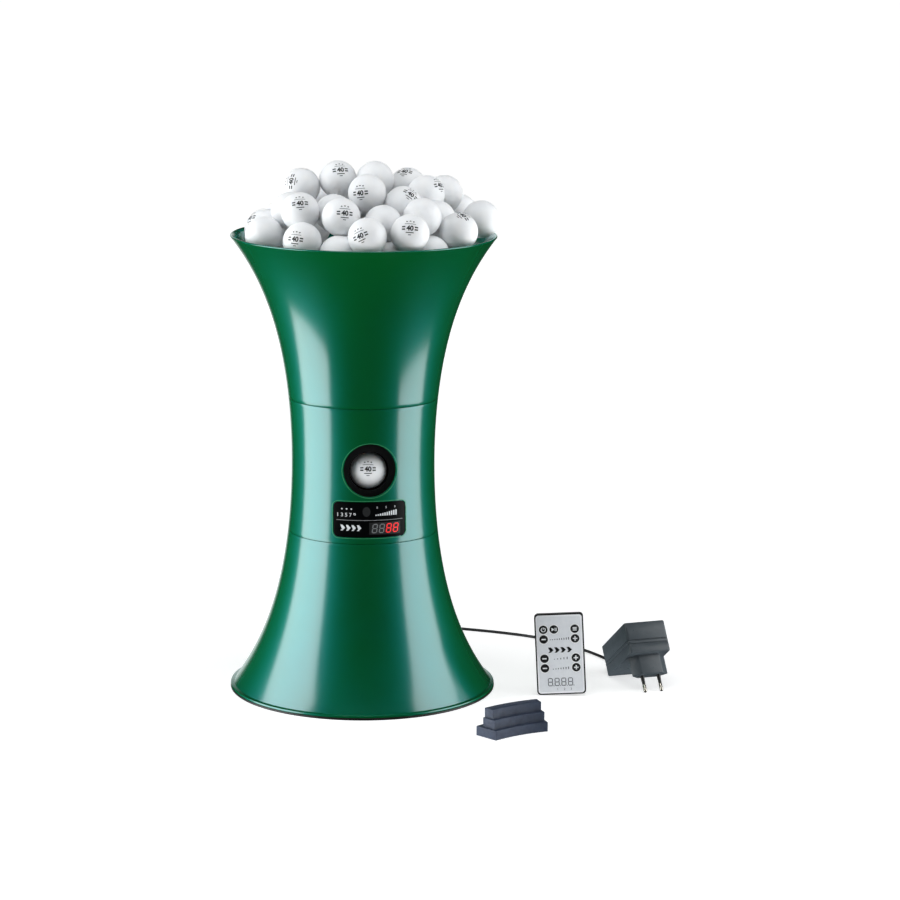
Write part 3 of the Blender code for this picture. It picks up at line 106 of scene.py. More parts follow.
# Every finish: its two tones, the size of the blotches between them, its roughness and how far
# that wanders, the width and the depth of its grain, and the sockets that differ from
# Blender's own. Sizes are in metres. The grain of a real mould is 0.02 to 0.2 mm wide, far
# below a pixel of this picture, which is about 1 mm, so grains are drawn 0.4 to 1.2 mm wide.
finishes = {
    # ABS coloured all through, off a polished mould: a deep green whose gloss is tinted by the
    # plastic, with soft-edged highlights and next to no texture
    "mouldedGreenAbs": ("#00540a", "#004f09", 0.060, 0.44, 0.02, 0.0011, 0.000003, {
        "IOR": 1.8, "Specular IOR Level": 1.0, "Specular Tint": (0.02, 0.6, 0.8, 1),
        "Coat Weight": 1.0, "Coat IOR": 1.9, "Coat Roughness": 0.17,
        "Coat Tint": (0.02, 0.97, 0.98, 1)}),
    # The same green plastic made pale and matte: a painted highlight along the rounded edges of
    # the hole and the recess
    "paintedEdgeHighlight": ("#3a9a6c", "#33905f", 0.004, 0.45, 0.05, 0.0006, 0.000005, {}),
    # ABS off a spark-eroded mould: black, with an even grain that spreads every highlight
    "sparkTexturedBlackAbs": ("#131415", "#191a1b", 0.012, 0.42, 0.05, 0.0006, 0.000060, {}),
    # The same off a mould that was eroded less: dark grey with a clearer sheen
    "sparkTexturedAdapterCase": ("#3f464b", "#464d52", 0.010, 0.32, 0.05, 0.0007, 0.000015, {}),
    # Smooth moulded sleeves of the pins: black with a soft sheen
    "blackSleevePlastic": ("#0f1011", "#151617", 0.004, 0.35, 0.04, 0.0008, 0.000020, {}),
    # Acrylic sheet printed black on its back: very dark and even, with a weak broad sheen. Its
    # grain is the sheet's own faint waviness, 10 mm wide.
    "backPrintedAcrylic": ("#040506", "#060708", 0.030, 0.30, 0.03, 0.0100, 0.000003, {
        "Specular IOR Level": 0.10}),
    # Ball plastic tumbled matte: white that light sinks into a little, with no hard highlight
    "matteBallPlastic": ("#f4f5f6", "#eff0f2", 0.009, 0.50, 0.05, 0.0005, 0.000012, {
        "Specular IOR Level": 0.25, "Subsurface Weight": 0.5, "Subsurface Scale": 0.008,
        "Subsurface Radius": (1.0, 0.95, 0.9)}),
    # Foam rubber cut and ground round: dull dark red with open cells, drawn 0.6 mm wide
    "redFoamRubber": ("#7d1512", "#5e0d0c", 0.004, 0.85, 0.06, 0.0006, 0.000200, {}),
    # Moulded nylon: mid grey with a satin sheen
    "greyNylon": ("#5a5b5e", "#505154", 0.010, 0.45, 0.05, 0.0008, 0.000020, {}),
    # Moulded rubber: black and matte
    "blackRubber": ("#141415", "#1b1b1c", 0.006, 0.62, 0.06, 0.0005, 0.000030, {}),
    # Extruded PVC: black, smooth along its length, with a soft sheen
    "blackPvcSheath": ("#0d0d0e", "#151516", 0.020, 0.38, 0.05, 0.0012, 0.000030, {}),
    # Rubber off a blasted mould: slate blue, matte, with a grain that the eye can just see
    "slateMouldedRubber": ("#2c384d", "#222c40", 0.007, 0.55, 0.08, 0.0007, 0.000120, {}),
    # Polyester film over pale silver print: nearly white, with an even soft sheen
    "silverPrintedFilm": ("#f2f3f6", "#edeef2", 0.020, 0.36, 0.04, 0.0004, 0.000010, {}),
    # Sprayed solder mask on a circuit board: dark green with a thin gloss
    "solderMaskLacquer": ("#0f4a2a", "#0b3c22", 0.006, 0.35, 0.05, 0.0010, 0.000020, {}),
    # Drawn steel plated with zinc: pale grey metal, a little uneven
    "zincPlatedSteel": ("#b9babd", "#a8a9ad", 0.005, 0.28, 0.06, 0.0004, 0.000015, {
        "Metallic": 1.0}),
    # Turned or pressed metal plated with nickel: bright, with a slightly warm tone
    "nickelPlate": ("#d3cec2", "#c2bdb2", 0.004, 0.22, 0.05, 0.0004, 0.000010, {
        "Metallic": 1.0}),
    # Plain paper of the studio: white with no gloss to speak of, its grain drawn 3 mm wide
    "whiteFloorPaper": ("#dcdcdc", "#d8d8d8", 0.5, 0.9, 0.05, 0.003, 0.00002, {}),
}

# Screen-printed inks, and the display's tinted plastics: thin even films with a dull sheen
inkFilm = (0.004, 0.45, 0.05, 0.0005, 0.000005)
segmentGlow = 0.7
for name, tones in {
    "silverPanelInk": ("#8f9294", "#888b8d"), "whitePanelInk": ("#dfe3e6", "#d8dcdf"),
    "infraredFilter": ("#262829", "#222425"), "smokedField": ("#1d1e1f", "#191a1b"),
    "unlitSegment": ("#85888a", "#7d8082"), "litRedSegment": ("#ee2a2c", "#e62426"),
    "blackBallInk": ("#17181a", "#1c1d1f"), "silverFieldInk": ("#e3e6ea", "#dde0e5"),
    "whiteOverlayInk": ("#fafbfb", "#f4f5f6"), "blackOverlayInk": ("#141516", "#18191a"),
    "greyOverlayInk": ("#5b5f64", "#54585d"), "whiteKeyInk": ("#eef0f2", "#e8eaec"),
}.items():
    finishes[name] = (*tones, *inkFilm, {})
finishes["litRedSegment"][-1].update({"Emission Color": rgba("#ee2a2c"),
                                      "Emission Strength": segmentGlow})
materials = {}


def finish(name):
    # The Principled material of a finish. Noise of the blotch size mixes its two tones, noise
    # of 0.4 times that size moves its roughness up and down, and noise of the grain's width
    # embosses it.
    if name in materials:
        return materials[name]
    colour, second, blotch, rough, wander, grain, depth, sockets = finishes[name]
    made = materials[name] = bpy.data.materials.new(name)
    made.use_nodes = True
    tree = made.node_tree
    shader = tree.nodes["Principled BSDF"]
    where = addNode(tree, "TexCoord").outputs["Object"]
    blotches, worn, grains = (
        addNode(tree, "TexNoise", {"Vector": where, "Scale": 1 / size, "Detail": detail,
                                   "Roughness": 0.55}).outputs["Fac"]
        for size, detail in ((blotch, 3.0), (blotch * 0.4, 5.0), (grain, 2.0)))
    share = addNode(tree, "MapRange", {"Value": blotches, "From Min": 0.3, "From Max": 0.7})
    tone = addNode(tree, "Mix", {"Factor": share.outputs["Result"], "A": rgba(colour),
                                 "B": rgba(second)}, data_type="RGBA")
    wear = addNode(tree, "MapRange", {"Value": worn, "From Min": 0.3, "From Max": 0.7,
                                      "To Min": rough - wander, "To Max": rough + wander})
    skin = addNode(tree, "Bump", {"Height": grains, "Strength": 1.0, "Distance": depth})
    for socket, output in (("Base Color", tone.outputs["Result"]),
                           ("Roughness", wear.outputs["Result"]),
                           ("Normal", skin.outputs["Normal"])):
        tree.links.new(output, shader.inputs[socket])
    for socket, value in sockets.items():
        shader.inputs[socket].default_value = value
    return made


# Helpers for pieces. A material is given by its finish's name, and a cutter has none.

def settle(made, body, replaced=()):
    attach(made, body)
    if replaced:
        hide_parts(*replaced)
    return made


def shadeBy(mesh, degrees):
    mesh.shade_smooth()
    mesh.set_sharp_from_angle(angle=math.radians(degrees))


def piece(name, verts, faces, material, sharp=30.0):
    mesh = bpy.data.meshes.new(name)
    mesh.from_pydata(np.asarray(verts, dtype=float).tolist(), [],
                     faces if isinstance(faces, list) else faces.tolist())
    mesh.validate()
    if material:
        mesh.materials.append(finish(material))
    work = bmesh.new()
    work.from_mesh(mesh)
    bmesh.ops.remove_doubles(work, verts=work.verts, dist=1e-6)
    bmesh.ops.recalc_face_normals(work, faces=work.faces)
    work.to_mesh(mesh)
    work.free()
    shadeBy(mesh, sharp)
    return added(name, mesh)


def evaluated(made):
    # The mesh of an object's text, or of its mesh with the modifiers worked in
    bpy.context.view_layer.update()
    graph = bpy.context.evaluated_depsgraph_get()
    return bpy.data.meshes.new_from_object(made.evaluated_get(graph), depsgraph=graph)


def vertices(mesh):
    flat = np.empty(len(mesh.vertices) * 3)
    mesh.vertices.foreach_get("co", flat)
    return flat.reshape(-1, 3)


def applied(made, sharp):
    # Works an object's modifiers into its mesh
    old, made.data = made.data, evaluated(made)
    made.modifiers.clear()
    bpy.data.meshes.remove(old)
    shadeBy(made.data, sharp)
    return made


def combine(made, others, operation, sharp=30.0):
    for other in others:
        step = made.modifiers.new(operation, "BOOLEAN")
        step.operation = operation
        step.object = other
        step.solver = "EXACT"
    applied(made, sharp)
    for other in others:
        bpy.data.objects.remove(other, do_unlink=True)
    return made


def soften(made, width, segments=3, degrees=40.0, sharp=30.0):
    step = made.modifiers.new("soften", "BEVEL")
    step.width = width
    step.segments = segments
    step.limit_method = "ANGLE"
    step.angle_limit = math.radians(degrees)
    step.miter_outer = "MITER_ARC"
    return applied(made, sharp)


def gridFaces(rows, columns, closed):
    # Quads between rows of points, closed round each row or open
    row = np.arange(rows - 1)[:, None] * columns
    count = columns if closed else columns - 1
    here = np.arange(count)
    there = (here + 1) % columns
    quads = np.stack([row + here, row + there, row + columns + there, row + columns + here], -1)
    return quads.reshape(-1, 4)


def caps(rows, columns):
    # The faces that close the first row and the last
    last = columns * (rows - 1)
    return [list(range(columns))[::-1], list(range(last, last + columns))]


def revolved(name, outline, material, sides=192, sharp=30.0):
    # A closed outline of (radius, height), turned about Z: each point at every angle is
    # (radius * cosine, radius * sine, height)
    outline = np.array(outline + outline[:1], dtype=float)
    angle = np.arange(sides) * tau / sides
    around = np.stack([np.cos(angle), np.sin(angle)], -1)
    verts = np.concatenate([outline[:, None, :1] * around[None],
                            np.repeat(outline[:, None, 1:], sides, 1)], -1)
    return piece(name, verts.reshape(-1, 3), gridFaces(len(outline), sides, True), material,
                 sharp)


def arcPoints(centre, radius, start, end, steps=5):
    # Degrees, from the first direction to the last
    angles = np.radians(np.linspace(start, end, steps + 1))
    return [(centre[0] + radius * math.cos(a), centre[1] + radius * math.sin(a)) for a in angles]


def circle(radius, sides):
    return arcPoints((0, 0), radius, 0, 360 * (1 - 1 / sides), sides - 1)


def slab(name, outline, low, high, place, material):
    # A flat outline pushed along the third axis of a place
    ends = [[place @ Vector((x, z, level)) for x, z in outline] for level in (low, high)]
    count = len(outline)
    faces = caps(2, count) + gridFaces(2, count, True).tolist()
    return piece(name, ends[0] + ends[1], faces, material)


def roundedOutline(width, height, radius, middle=(0.0, 0.0), steps=8):
    points = []
    for start, across, along in ((0, 1, 1), (90, -1, 1), (180, -1, -1), (270, 1, -1)):
        centre = (middle[0] + across * (width / 2 - radius),
                  middle[1] + along * (height / 2 - radius))
        points += arcPoints(centre, radius, start, start + 90, steps)
    return points


def turned(axis, degrees):
    return Matrix.Rotation(math.radians(degrees), 4, axis)


# Hourglass body

hourglass = {
    "height": 0.492, "waistAt": 0.250, "waist": 0.0766, "rim": 0.1424, "base": 0.1430,
    "flare": 0.1028, "wall": 0.0026, "lowerSeam": 0.174, "upperSeam": 0.318,
    "seamGap": 0.0003, "seamRound": 0.0004, "rimRound": 0.0013,
}


def flareScale(height):
    # One scale above the waist and one below it, so that the radius comes out right at the
    # rim and at the base
    body = hourglass
    above = body["rim"] - body["waist"], body["height"] - body["waistAt"]
    below = body["base"] - body["waist"], body["waistAt"]
    scales = [grow / (math.cosh(reach / body["flare"]) - 1) for grow, reach in (above, below)]
    return np.where(np.asarray(height) > body["waistAt"], *scales)


def outerRadius(height):
    # The waist's radius, plus the scale times (cosh of the way from the waist over the
    # flare's length, less 1)
    away = (np.asarray(height) - hourglass["waistAt"]) / hourglass["flare"]
    return hourglass["waist"] + flareScale(height) * (np.cosh(away) - 1)


def wallSlope(height):
    # How fast that radius grows with the height: the scale times sinh over the flare's length
    away = (np.asarray(height) - hourglass["waistAt"]) / hourglass["flare"]
    return flareScale(height) * np.sinh(away) / hourglass["flare"]


def innerRadius(height):
    # The wall is as thick as stated square to itself, so level it is thicker where it slopes
    return outerRadius(height) - hourglass["wall"] * np.hypot(1, wallSlope(height))


def wallPoints(radiusAt, low, high, steps=48):
    # The outline along the wall, at even heights
    heights = np.linspace(low, high, steps + 1)
    return list(zip(radiusAt(heights).tolist(), heights.tolist()))


def seamEdge(height, side):
    # The rounded outer edge of a shell's upper end (side 1) or lower end (side -1)
    radius, edge = float(outerRadius(height)), hourglass["seamRound"]
    return [(radius - 0.3 * edge, height - side * 0.3 * edge), (radius - edge, height)][::side]


def roundedRim(wide, low, high, edge):
    # The outer edge of a flat ring, rounded below and above
    return (arcPoints((wide - edge, low + edge), edge, -90, 0, 3)
            + arcPoints((wide - edge, high - edge), edge, 0, 90, 3))


socket = {"height": 0.028, "hole": 0.0062, "reach": 0.020}
plate = {"thick": 0.0022, "gap": 0.0003, "round": 0.0005,
         "rib": {"height": 0.0035, "thick": 0.0025, "gap": 0.0006}}
foot = {"inner": 0.112, "outer": 0.122, "depth": 0.0012, "low": 0.0002, "gap": 0.0003}
flange = {"top": 0.0052, "ledge": 0.0046, "radius": 0.1428, "round": 0.0004}


def makeLowerShell():
    low = plate["thick"] + plate["gap"]
    high = hourglass["lowerSeam"] - hourglass["seamGap"] / 2
    outline = wallPoints(outerRadius, flange["top"], high - hourglass["seamRound"])
    outline += seamEdge(high, 1) + wallPoints(innerRadius, high, low)
    outline += roundedRim(flange["radius"], low, flange["ledge"], flange["round"])
    made = revolved("lowerShell", outline, "mouldedGreenAbs")
    back = float(outerRadius(socket["height"]))
    aim = Matrix.Translation((0, back, socket["height"])) @ turned("X", -90)
    hole = slab("plugHole", circle(socket["hole"], 48), -socket["reach"], socket["reach"], aim,
                None)
    combine(made, [hole], "DIFFERENCE")
    return settle(made, robot, ["base_shell"])


def makeBasePlate():
    # A disc with a groove for the foot ring below and a rib above that centres the shell
    inner, outer, depth, gap = foot["inner"], foot["outer"], foot["depth"], foot["gap"]
    thick, rib = plate["thick"], plate["rib"]
    top = thick + rib["height"]
    out = float(innerRadius(top)) - rib["gap"]
    outline = [(0, 0), (inner, 0), (inner, depth), (outer, depth), (outer, 0)]
    outline += roundedRim(hourglass["base"], 0, thick, plate["round"])
    outline += [(out, thick), (out, top), (out - rib["thick"], top), (out - rib["thick"], thick),
                (0, thick)]
    made = revolved("basePlate", outline, "sparkTexturedBlackAbs")
    settle(made, robot, ["base_plate"])
    rubber = revolved("footRing", [(inner + gap, foot["low"]), (outer - gap, foot["low"]),
                                   (outer - gap, depth - gap), (inner + gap, depth - gap)],
                      "blackRubber")
    settle(rubber, robot, ["foot_ring"])


# Each "line" pair bounds the painted highlight round that opening
outlet = {"height": 0.252, "radius": 0.0285, "flare": 0.0008, "lip": 0.0004,
          "line": (0.0290, 0.0295), "sides": 96, "reach": 0.030}
window = {
    "width": 0.0756, "height": 0.0372, "corner": 0.0050, "middle": 0.1998,
    "thick": 0.0014, "gap": 0.0004, "edge": 0.0004, "lip": 0.0004, "inset": 0.0002,
    "seat": 0.0003, "reach": 0.006, "line": (0.0009, 0.0014),
}


def onWall(x, z, lift=0.0):
    # The point of the front wall behind (x, z), lifted off it: x over the wall's radius is
    # the sine of its turn round Z, and the lift goes out square to the slope
    radius = outerRadius(z)
    slope = wallSlope(z)
    across = np.asarray(x) / radius
    up = lift / np.hypot(1, slope)
    out = radius + up
    return np.stack([out * across, -out * np.sqrt(1 - across ** 2), z - up * slope], -1)


def overWall(lift):
    # Lays a flat print on the front wall
    return lambda x, z: onWall(x, z, lift)


def wallPatch(name, shape, grow, front, back, material, columns=72, rows=28):
    # A rounded rectangle of the front wall, from front to back along the wall's normal. Its
    # columns crowd towards the sides: three parts of cosine spacing to one of even spacing.
    # A column that is a way into a corner is as tall as the corner's circle lets it be, and
    # its rows are even. A skirt joins the two sheets round their border.
    half = shape["width"] / 2 + grow
    tall = shape["height"] / 2 + grow
    corner = shape["corner"] + grow
    share = -np.cos(np.linspace(0, math.pi, columns))
    share = 0.75 * share + 0.25 * np.linspace(-1, 1, columns)
    x = half * share
    into = np.maximum(np.abs(x) - (half - corner), 0)
    reach = tall - corner + np.sqrt(np.maximum(corner ** 2 - into ** 2, 0))
    z = shape["middle"] + np.linspace(-1, 1, rows)[:, None] * reach[None]
    x = np.repeat(x[None], rows, 0)
    sheets = [onWall(x, z, lift).reshape(-1, 3) for lift in (back, front)]
    quads = gridFaces(rows, columns, False)
    size = rows * columns
    at = np.arange(size).reshape(rows, columns)
    border = np.concatenate([at[0], at[1:, -1], at[-1, -2::-1], at[-2:0:-1, 0]])
    after = np.roll(border, -1)
    skirt = np.stack([border, after, after + size, border + size], -1)
    faces = np.concatenate([quads[:, ::-1], quads + size, skirt])
    return piece(name, np.concatenate(sheets), faces, material, 40.0)


def makeMiddleShell():
    gap = hourglass["seamGap"] / 2
    low, high = hourglass["lowerSeam"] + gap, hourglass["upperSeam"] - gap
    edge = hourglass["seamRound"]
    outline = wallPoints(outerRadius, low + edge, high - edge) + seamEdge(high, 1)
    outline += wallPoints(innerRadius, high, low) + seamEdge(low, -1)
    made = revolved("middleShell", outline, "mouldedGreenAbs")

    # The outlet's cutter is a cone that gets wider to the front, by the flare over the wall
    sides, reach = outlet["sides"], outlet["reach"]
    spread = outlet["flare"] * reach / hourglass["wall"] / 2
    angle = np.arange(sides) * tau / sides
    ends = []
    for end in (-1, 1):
        radius = outlet["radius"] + end * spread
        ends.append(np.stack([radius * np.cos(angle),
                              np.full(sides, -hourglass["waist"] - end * reach),
                              outlet["height"] + radius * np.sin(angle)], -1))
    hole = piece("outletHole", np.concatenate(ends),
                 gridFaces(2, sides, True).tolist() + caps(2, sides), None)
    recess = wallPatch("windowRecess", window, window["gap"], window["reach"],
                       -window["thick"] - window["seat"], None)
    for cutter, lip, segments in ((hole, outlet["lip"], 4), (recess, window["lip"], 2)):
        combine(made, [cutter], "DIFFERENCE")
        soften(made, lip, segments, 50.0, 35.0)
    settle(made, robot, ["mid_housing"])

    # Thin pale lines round the hole and the recess: a painted highlight along their rounded edges
    loops = [roundedOutline(window["width"] + 2 * grow, window["height"] + 2 * grow,
                            window["corner"] + grow, (0, window["middle"]))
             for grow in window["line"]]
    count = len(loops[0])
    here, after = np.arange(count), np.roll(np.arange(count), -1)
    band = (np.concatenate(loops),
            np.stack([here, here + count, after + count, after], -1).tolist())
    lines = [band, shifted(ring(*outlet["line"], steps=sides), 0, outlet["height"])]
    paint("paintedEdgeHighlightLines", lines, overWall(display["ink"]), "paintedEdgeHighlight")


def makeUpperShell():
    # The hopper, with a ledge inside that a gusset carries
    low = hourglass["upperSeam"] + hourglass["seamGap"] / 2
    top, edge = hourglass["height"], hourglass["rimRound"]
    ledge = {"top": 0.3482, "thick": 0.0025, "gusset": 0.005, "width": 0.0042}
    outline = wallPoints(outerRadius, low + hourglass["seamRound"], top - edge)
    middle = (float(outerRadius(top - edge)) - edge, top - edge)
    outline += arcPoints(middle, edge, 20, 150, 6)
    outline += wallPoints(innerRadius, top - edge, ledge["top"])
    inmost = float(innerRadius(ledge["top"])) - ledge["width"]
    under = ledge["top"] - ledge["thick"]
    outline += [(inmost, ledge["top"]), (inmost, under)]
    outline += wallPoints(innerRadius, under - ledge["gusset"], low, 8) + seamEdge(low, -1)
    made = revolved("upperShell", outline, "mouldedGreenAbs")
    return settle(made, robot, ["hopper_shell"])


# Display window

display = {
    # A divider, a round window, and the field behind the digits: middle, then sizes
    "line": (0, 0.1993, 0.0700, 0.0006), "eye": (-0.0039, 0.2084), "eyeSize": (0.0042, 0.0052),
    "field": (0.0156, 0.1906, 0.0335, 0.0128),
    "digitLeft": 0.0014, "digitPitch": 0.0075, "digitBase": 0.1857, "unlit": 2,
    # Width, height, stroke and slant of a digit, and half the gap between its bars
    "digit": (0.0056, 0.0098, 0.0010, 0.14, 0.0002),
    "ink": 0.00005,
    # Odd numbers, dots and figures: middle, height or radius, then boldness or pitch
    "numbers": (-0.0245, 0.2050, 0.0040, 0.01), "dots": (-0.0245, 0.2112, 0.0008, 0.0048),
    "figures": (0.0170, 0.2128, 0.0022, 0.0095),
    # Ten rising bars: middle, foot, width, pitch, least height and greatest
    "level": (0.0170, 0.2040, 0.0015, 0.0024, 0.0012, 0.0057),
    # Arrow heads: the row's middle; then height, back, shoulder, tip and pitch
    "arrows": ((-0.0203, 0.1912), (0.0062, -0.0022, 0.0000, 0.0026, 0.0056)),
}


def sevenSegments(left, base, width, height, stroke, slant, gap):
    # The seven bars of a digit as outlines, leaning to the right, in the order a to g
    half = stroke / 2
    inner = width - stroke
    rise = (height - stroke) / 2
    first, last, middle = half, half + inner, half + inner / 2
    low, mid, top = half, half + rise, half + 2 * rise
    bars = []
    for x, z, length, upright in (
            (middle, top, inner, False), (last, mid + rise / 2, rise, True),
            (last, low + rise / 2, rise, True), (middle, low, inner, False),
            (first, low + rise / 2, rise, True), (first, mid + rise / 2, rise, True),
            (middle, mid, inner, False)):
        long = length / 2 - gap
        ends = [(-long, 0), (-long + half, half), (long - half, half), (long, 0),
                (long - half, -half), (-long + half, -half)]
        points = [(x + b, z + a) if upright else (x + a, z + b) for a, b in ends]
        bars.append(drawn([(left + a + slant * b, base + b) for a, b in points]))
    return bars


def drawn(outline):
    # A flat shape: its points and its faces
    return np.array(outline, dtype=float), [list(range(len(outline)))]


def label(words, height, bold=0.0):
    # Plain figures as a flat shape, centred, with figures of the given height
    data = bpy.data.curves.new("label", "FONT")
    data.body, data.offset = words, bold
    made = added("label", data)
    mesh = evaluated(made)
    points = vertices(mesh)[:, :2]
    faces = [list(polygon.vertices) for polygon in mesh.polygons]
    low, high = points.min(axis=0), points.max(axis=0)
    bpy.data.objects.remove(made, do_unlink=True)
    bpy.data.curves.remove(data)
    bpy.data.meshes.remove(mesh)
    return (points - (low + high) / 2) * height / (high[1] - low[1]), faces


def shifted(shape, x, z, turn=0.0):
    # A flat shape turned and moved
    points, faces = shape
    c, s = math.cos(math.radians(turn)), math.sin(math.radians(turn))
    return points @ np.array([[c, s], [-s, c]]) + (x, z), faces


def box(width, height):
    return drawn([(-width / 2, -height / 2), (width / 2, -height / 2),
                  (width / 2, height / 2), (-width / 2, height / 2)])


def disc(radius, steps=24):
    return drawn(circle(radius, steps))


def ring(inner, outer, start=0.0, end=360.0, steps=32):
    arc = [np.array(arcPoints((0, 0), radius, start, end, steps)) for radius in (inner, outer)]
    here = np.arange(steps)
    faces = np.stack([here, here + steps + 1, here + steps + 2, here + 1], -1)
    return np.concatenate(arc), faces.tolist()


def arrowHeads(x, z, height, back, shoulder, tip, pitch, notch=0.0004):
    # Four in a row that point to the right, each notched at its back
    half = height / 2
    head = drawn([(back, -half), (shoulder, -half), (tip, 0), (shoulder, half), (back, half),
                  (notch, 0)])
    return [shifted(head, x + step * pitch, z) for step in (-1.5, -0.5, 0.5, 1.5)]


def star(radius):
    # Five points at the radius, and between them five corners at 0.42 of it
    angle = math.pi / 2 + np.arange(10) * math.pi / 5
    reach = np.where(np.arange(10) % 2 == 0, radius, 0.42 * radius)
    return drawn(np.stack([reach * np.cos(angle), reach * np.sin(angle)], -1))


def paint(name, shapes, place, material, body=robot, longest=0.002):
    # A piece of flat shapes laid on a surface: place turns their points into points in space.
    # Edges longer than the longest are halved first, so that the shapes follow its curve.
    work = bmesh.new()
    for points, faces in shapes:
        verts = [work.verts.new((x, 0, z)) for x, z in points]
        for face in faces:
            work.faces.new([verts[k] for k in face])
    bmesh.ops.triangulate(work, faces=work.faces)
    for _ in range(6):
        edges = [edge for edge in work.edges if edge.calc_length() > longest]
        if not edges:
            break
        bmesh.ops.subdivide_edges(work, edges=edges, cuts=1)
        bmesh.ops.triangulate(work, faces=work.faces)
    mesh = bpy.data.meshes.new(name)
    work.to_mesh(mesh)
    work.free()
    flat = vertices(mesh)
    mesh.vertices.foreach_set("co", place(flat[:, 0], flat[:, 2]).ravel())
    mesh.materials.append(finish(material))
    mesh.shade_smooth()
    return settle(added(name, mesh), body)


def makeWindow():
    pane = wallPatch("windowPane", window, -window["inset"], 0.0, -window["thick"],
                     "backPrintedAcrylic")
    soften(pane, window["edge"], 2, 60.0, 40.0)
    settle(pane, robot, ["display_window"])
    onPane, overField = overWall(display["ink"]), overWall(2 * display["ink"])

    x, z, width, height = display["line"]
    paint("dividerLine", [shifted(box(width, height), x, z)], onPane, "silverPanelInk")
    points, faces = disc(1.0)
    eye = shifted((points * display["eyeSize"], faces), *display["eye"])
    paint("infraredWindow", [eye], onPane, "infraredFilter")
    x, z, width, height = display["field"]
    paint("digitField", [shifted(box(width, height), x, z)], onPane, "smokedField")

    x, z, height, bold = display["numbers"]
    marks = [shifted(label("1 3 5 7 9", height, bold), x, z)]
    x, z, radius, pitch = display["dots"]
    marks += [shifted(disc(radius), x + step * pitch, z) for step in (-1, 0, 1)]
    x, z, height, pitch = display["figures"]
    marks += [shifted(label(figure, height), x + step * pitch, z)
              for figure, step in (("0", -1), ("5", 0), ("9", 1))]
    x, low, width, pitch, least, most = display["level"]
    for number in range(10):
        height = least + (most - least) * number / 9
        marks.append(shifted(box(width, height), x + (number - 4.5) * pitch, low + height / 2))
    middle, sizes = display["arrows"]
    marks += arrowHeads(*middle, *sizes)
    paint("panelMarks", marks, onPane, "whitePanelInk")

    digits = [sevenSegments(display["digitLeft"] + number * display["digitPitch"],
                            display["digitBase"], *display["digit"]) for number in range(4)]
    unlit, lit = sum(digits[:display["unlit"]], []), sum(digits[display["unlit"]:], [])
    paint("unlitDigits", unlit, overField, "unlitSegment")
    paint("litDigits", lit, overField, "litRedSegment")


# Barrel and throw wheels behind the outlet

barrel = {"bore": 0.0210, "wall": 0.0025, "back": 0.036, "front": 0.0735, "collar": 0.066,
          "flange": 0.0020, "rim": 0.0333, "rimWall": 0.0022, "rimBack": 0.0090,
          "height": 0.24946, "slot": 0.024, "slotDepths": (-0.062, -0.018),
          "slotHeights": (0.205, 0.300)}
wheel = {"radius": 0.0235, "width": 0.020, "depth": 0.008, "crown": 0.0010, "back": -0.005,
         "heights": {"upper_wheel": 0.2906, "lower_wheel": 0.2066}}


def makeBarrel():
    # A tube with a collar and a rim at its front, turned to lie along Y, with slots for the
    # wheels
    bore, back, collar, front = (barrel[key] for key in ("bore", "back", "collar", "front"))
    outside, shoulder = bore + barrel["wall"], collar - barrel["flange"]
    rim, rimEnd = barrel["rim"], front - barrel["rimBack"]
    inRim = rim - barrel["rimWall"]
    tube = revolved("outletBarrel", [
        (bore, back), (outside, back), (outside, shoulder), (rim, shoulder), (rim, rimEnd),
        (inRim, rimEnd), (inRim, collar), (bore, collar)], "sparkTexturedBlackAbs", 96)
    tube.data.transform(Matrix.Translation((0, 0, barrel["height"])) @ turned("X", 90))
    half, (behind, ahead) = barrel["slot"] / 2, barrel["slotDepths"]
    cutter = slab("wheelSlots", [(-half, behind), (half, behind), (half, ahead), (-half, ahead)],
                  *barrel["slotHeights"], Matrix.Identity(4), None)
    combine(tube, [cutter], "DIFFERENCE")
    settle(tube, robot, ["outlet_barrel"])


def makeWheels():
    # A tyre's radius falls from its middle with the square of the way to its edge
    half, inside = wheel["width"] / 2, wheel["radius"] - wheel["depth"]
    for body, height in wheel["heights"].items():
        crown = [(wheel["radius"] - wheel["crown"] * (x / half) ** 2, x)
                 for x in np.linspace(-half, half, 13).tolist()]
        tyre = revolved(body + "Tyre", [(inside, -half), *crown, (inside, half)],
                        "redFoamRubber", 96)
        tyre.data.transform(Matrix.Translation((0, wheel["back"], height)) @ turned("Y", 90))
        settle(tyre, body, [body + "_tyre"])


# Balls

ballSize = {"radius": 0.020, "outlet": (0, -0.0525, 0.2486)}
# The heap, row by row: rough middles in ball diameters from the middle of the rim
heapRows = (
    ((-1.6, 0.6, 1.2), (-0.6, 0.5, 1.4), (0.3, 0.3, 1.4), (1.2, 0.6, 1.2), (2.2, 0.5, 1.0),
     (1.6, -0.3, 1.1), (1.8, -1.1, 0.5)),
    ((2.7, 1.4, 0.4), (1.8, 1.3, 0.7), (1.0, 2.0, 0.7), (1.8, 2.5, 0.3), (0.8, 2.7, 0.1),
     (0.1, 3.3, 0.5), (-0.3, 2.4, 0.5), (-0.4, 1.5, 0.9)),
    ((-0.9, 3.1, 0.5), (-1.3, 2.4, -0.1), (-1.2, 1.9, 0.7), (-1.8, 2.1, 0.2)),
    ((0.0, -1.1, 1.2), (0.9, -1.2, 0.9), (1.3, -2.1, 0.7), (1.5, -2.2, -0.3), (2.3, -1.9, 0.3)),
    ((-2.6, 1.0, 0.0), (-2.6, 0.0, 0.2), (-2.7, -1.0, 0.1), (-2.0, -0.6, 0.7), (-1.8, -1.6, 0.8),
     (-1.8, -2.3, 0.1), (-0.9, -2.5, -0.2), (-0.8, -2.2, 0.7), (-0.9, -1.2, 0.7)),
    ((-0.2, -3.0, 0.3), (0.3, -2.2, 0.5), (0.4, -2.5, -0.4), (0.9, -2.9, 0.4)),
    ((3.1, -0.2, 0.4),),
)
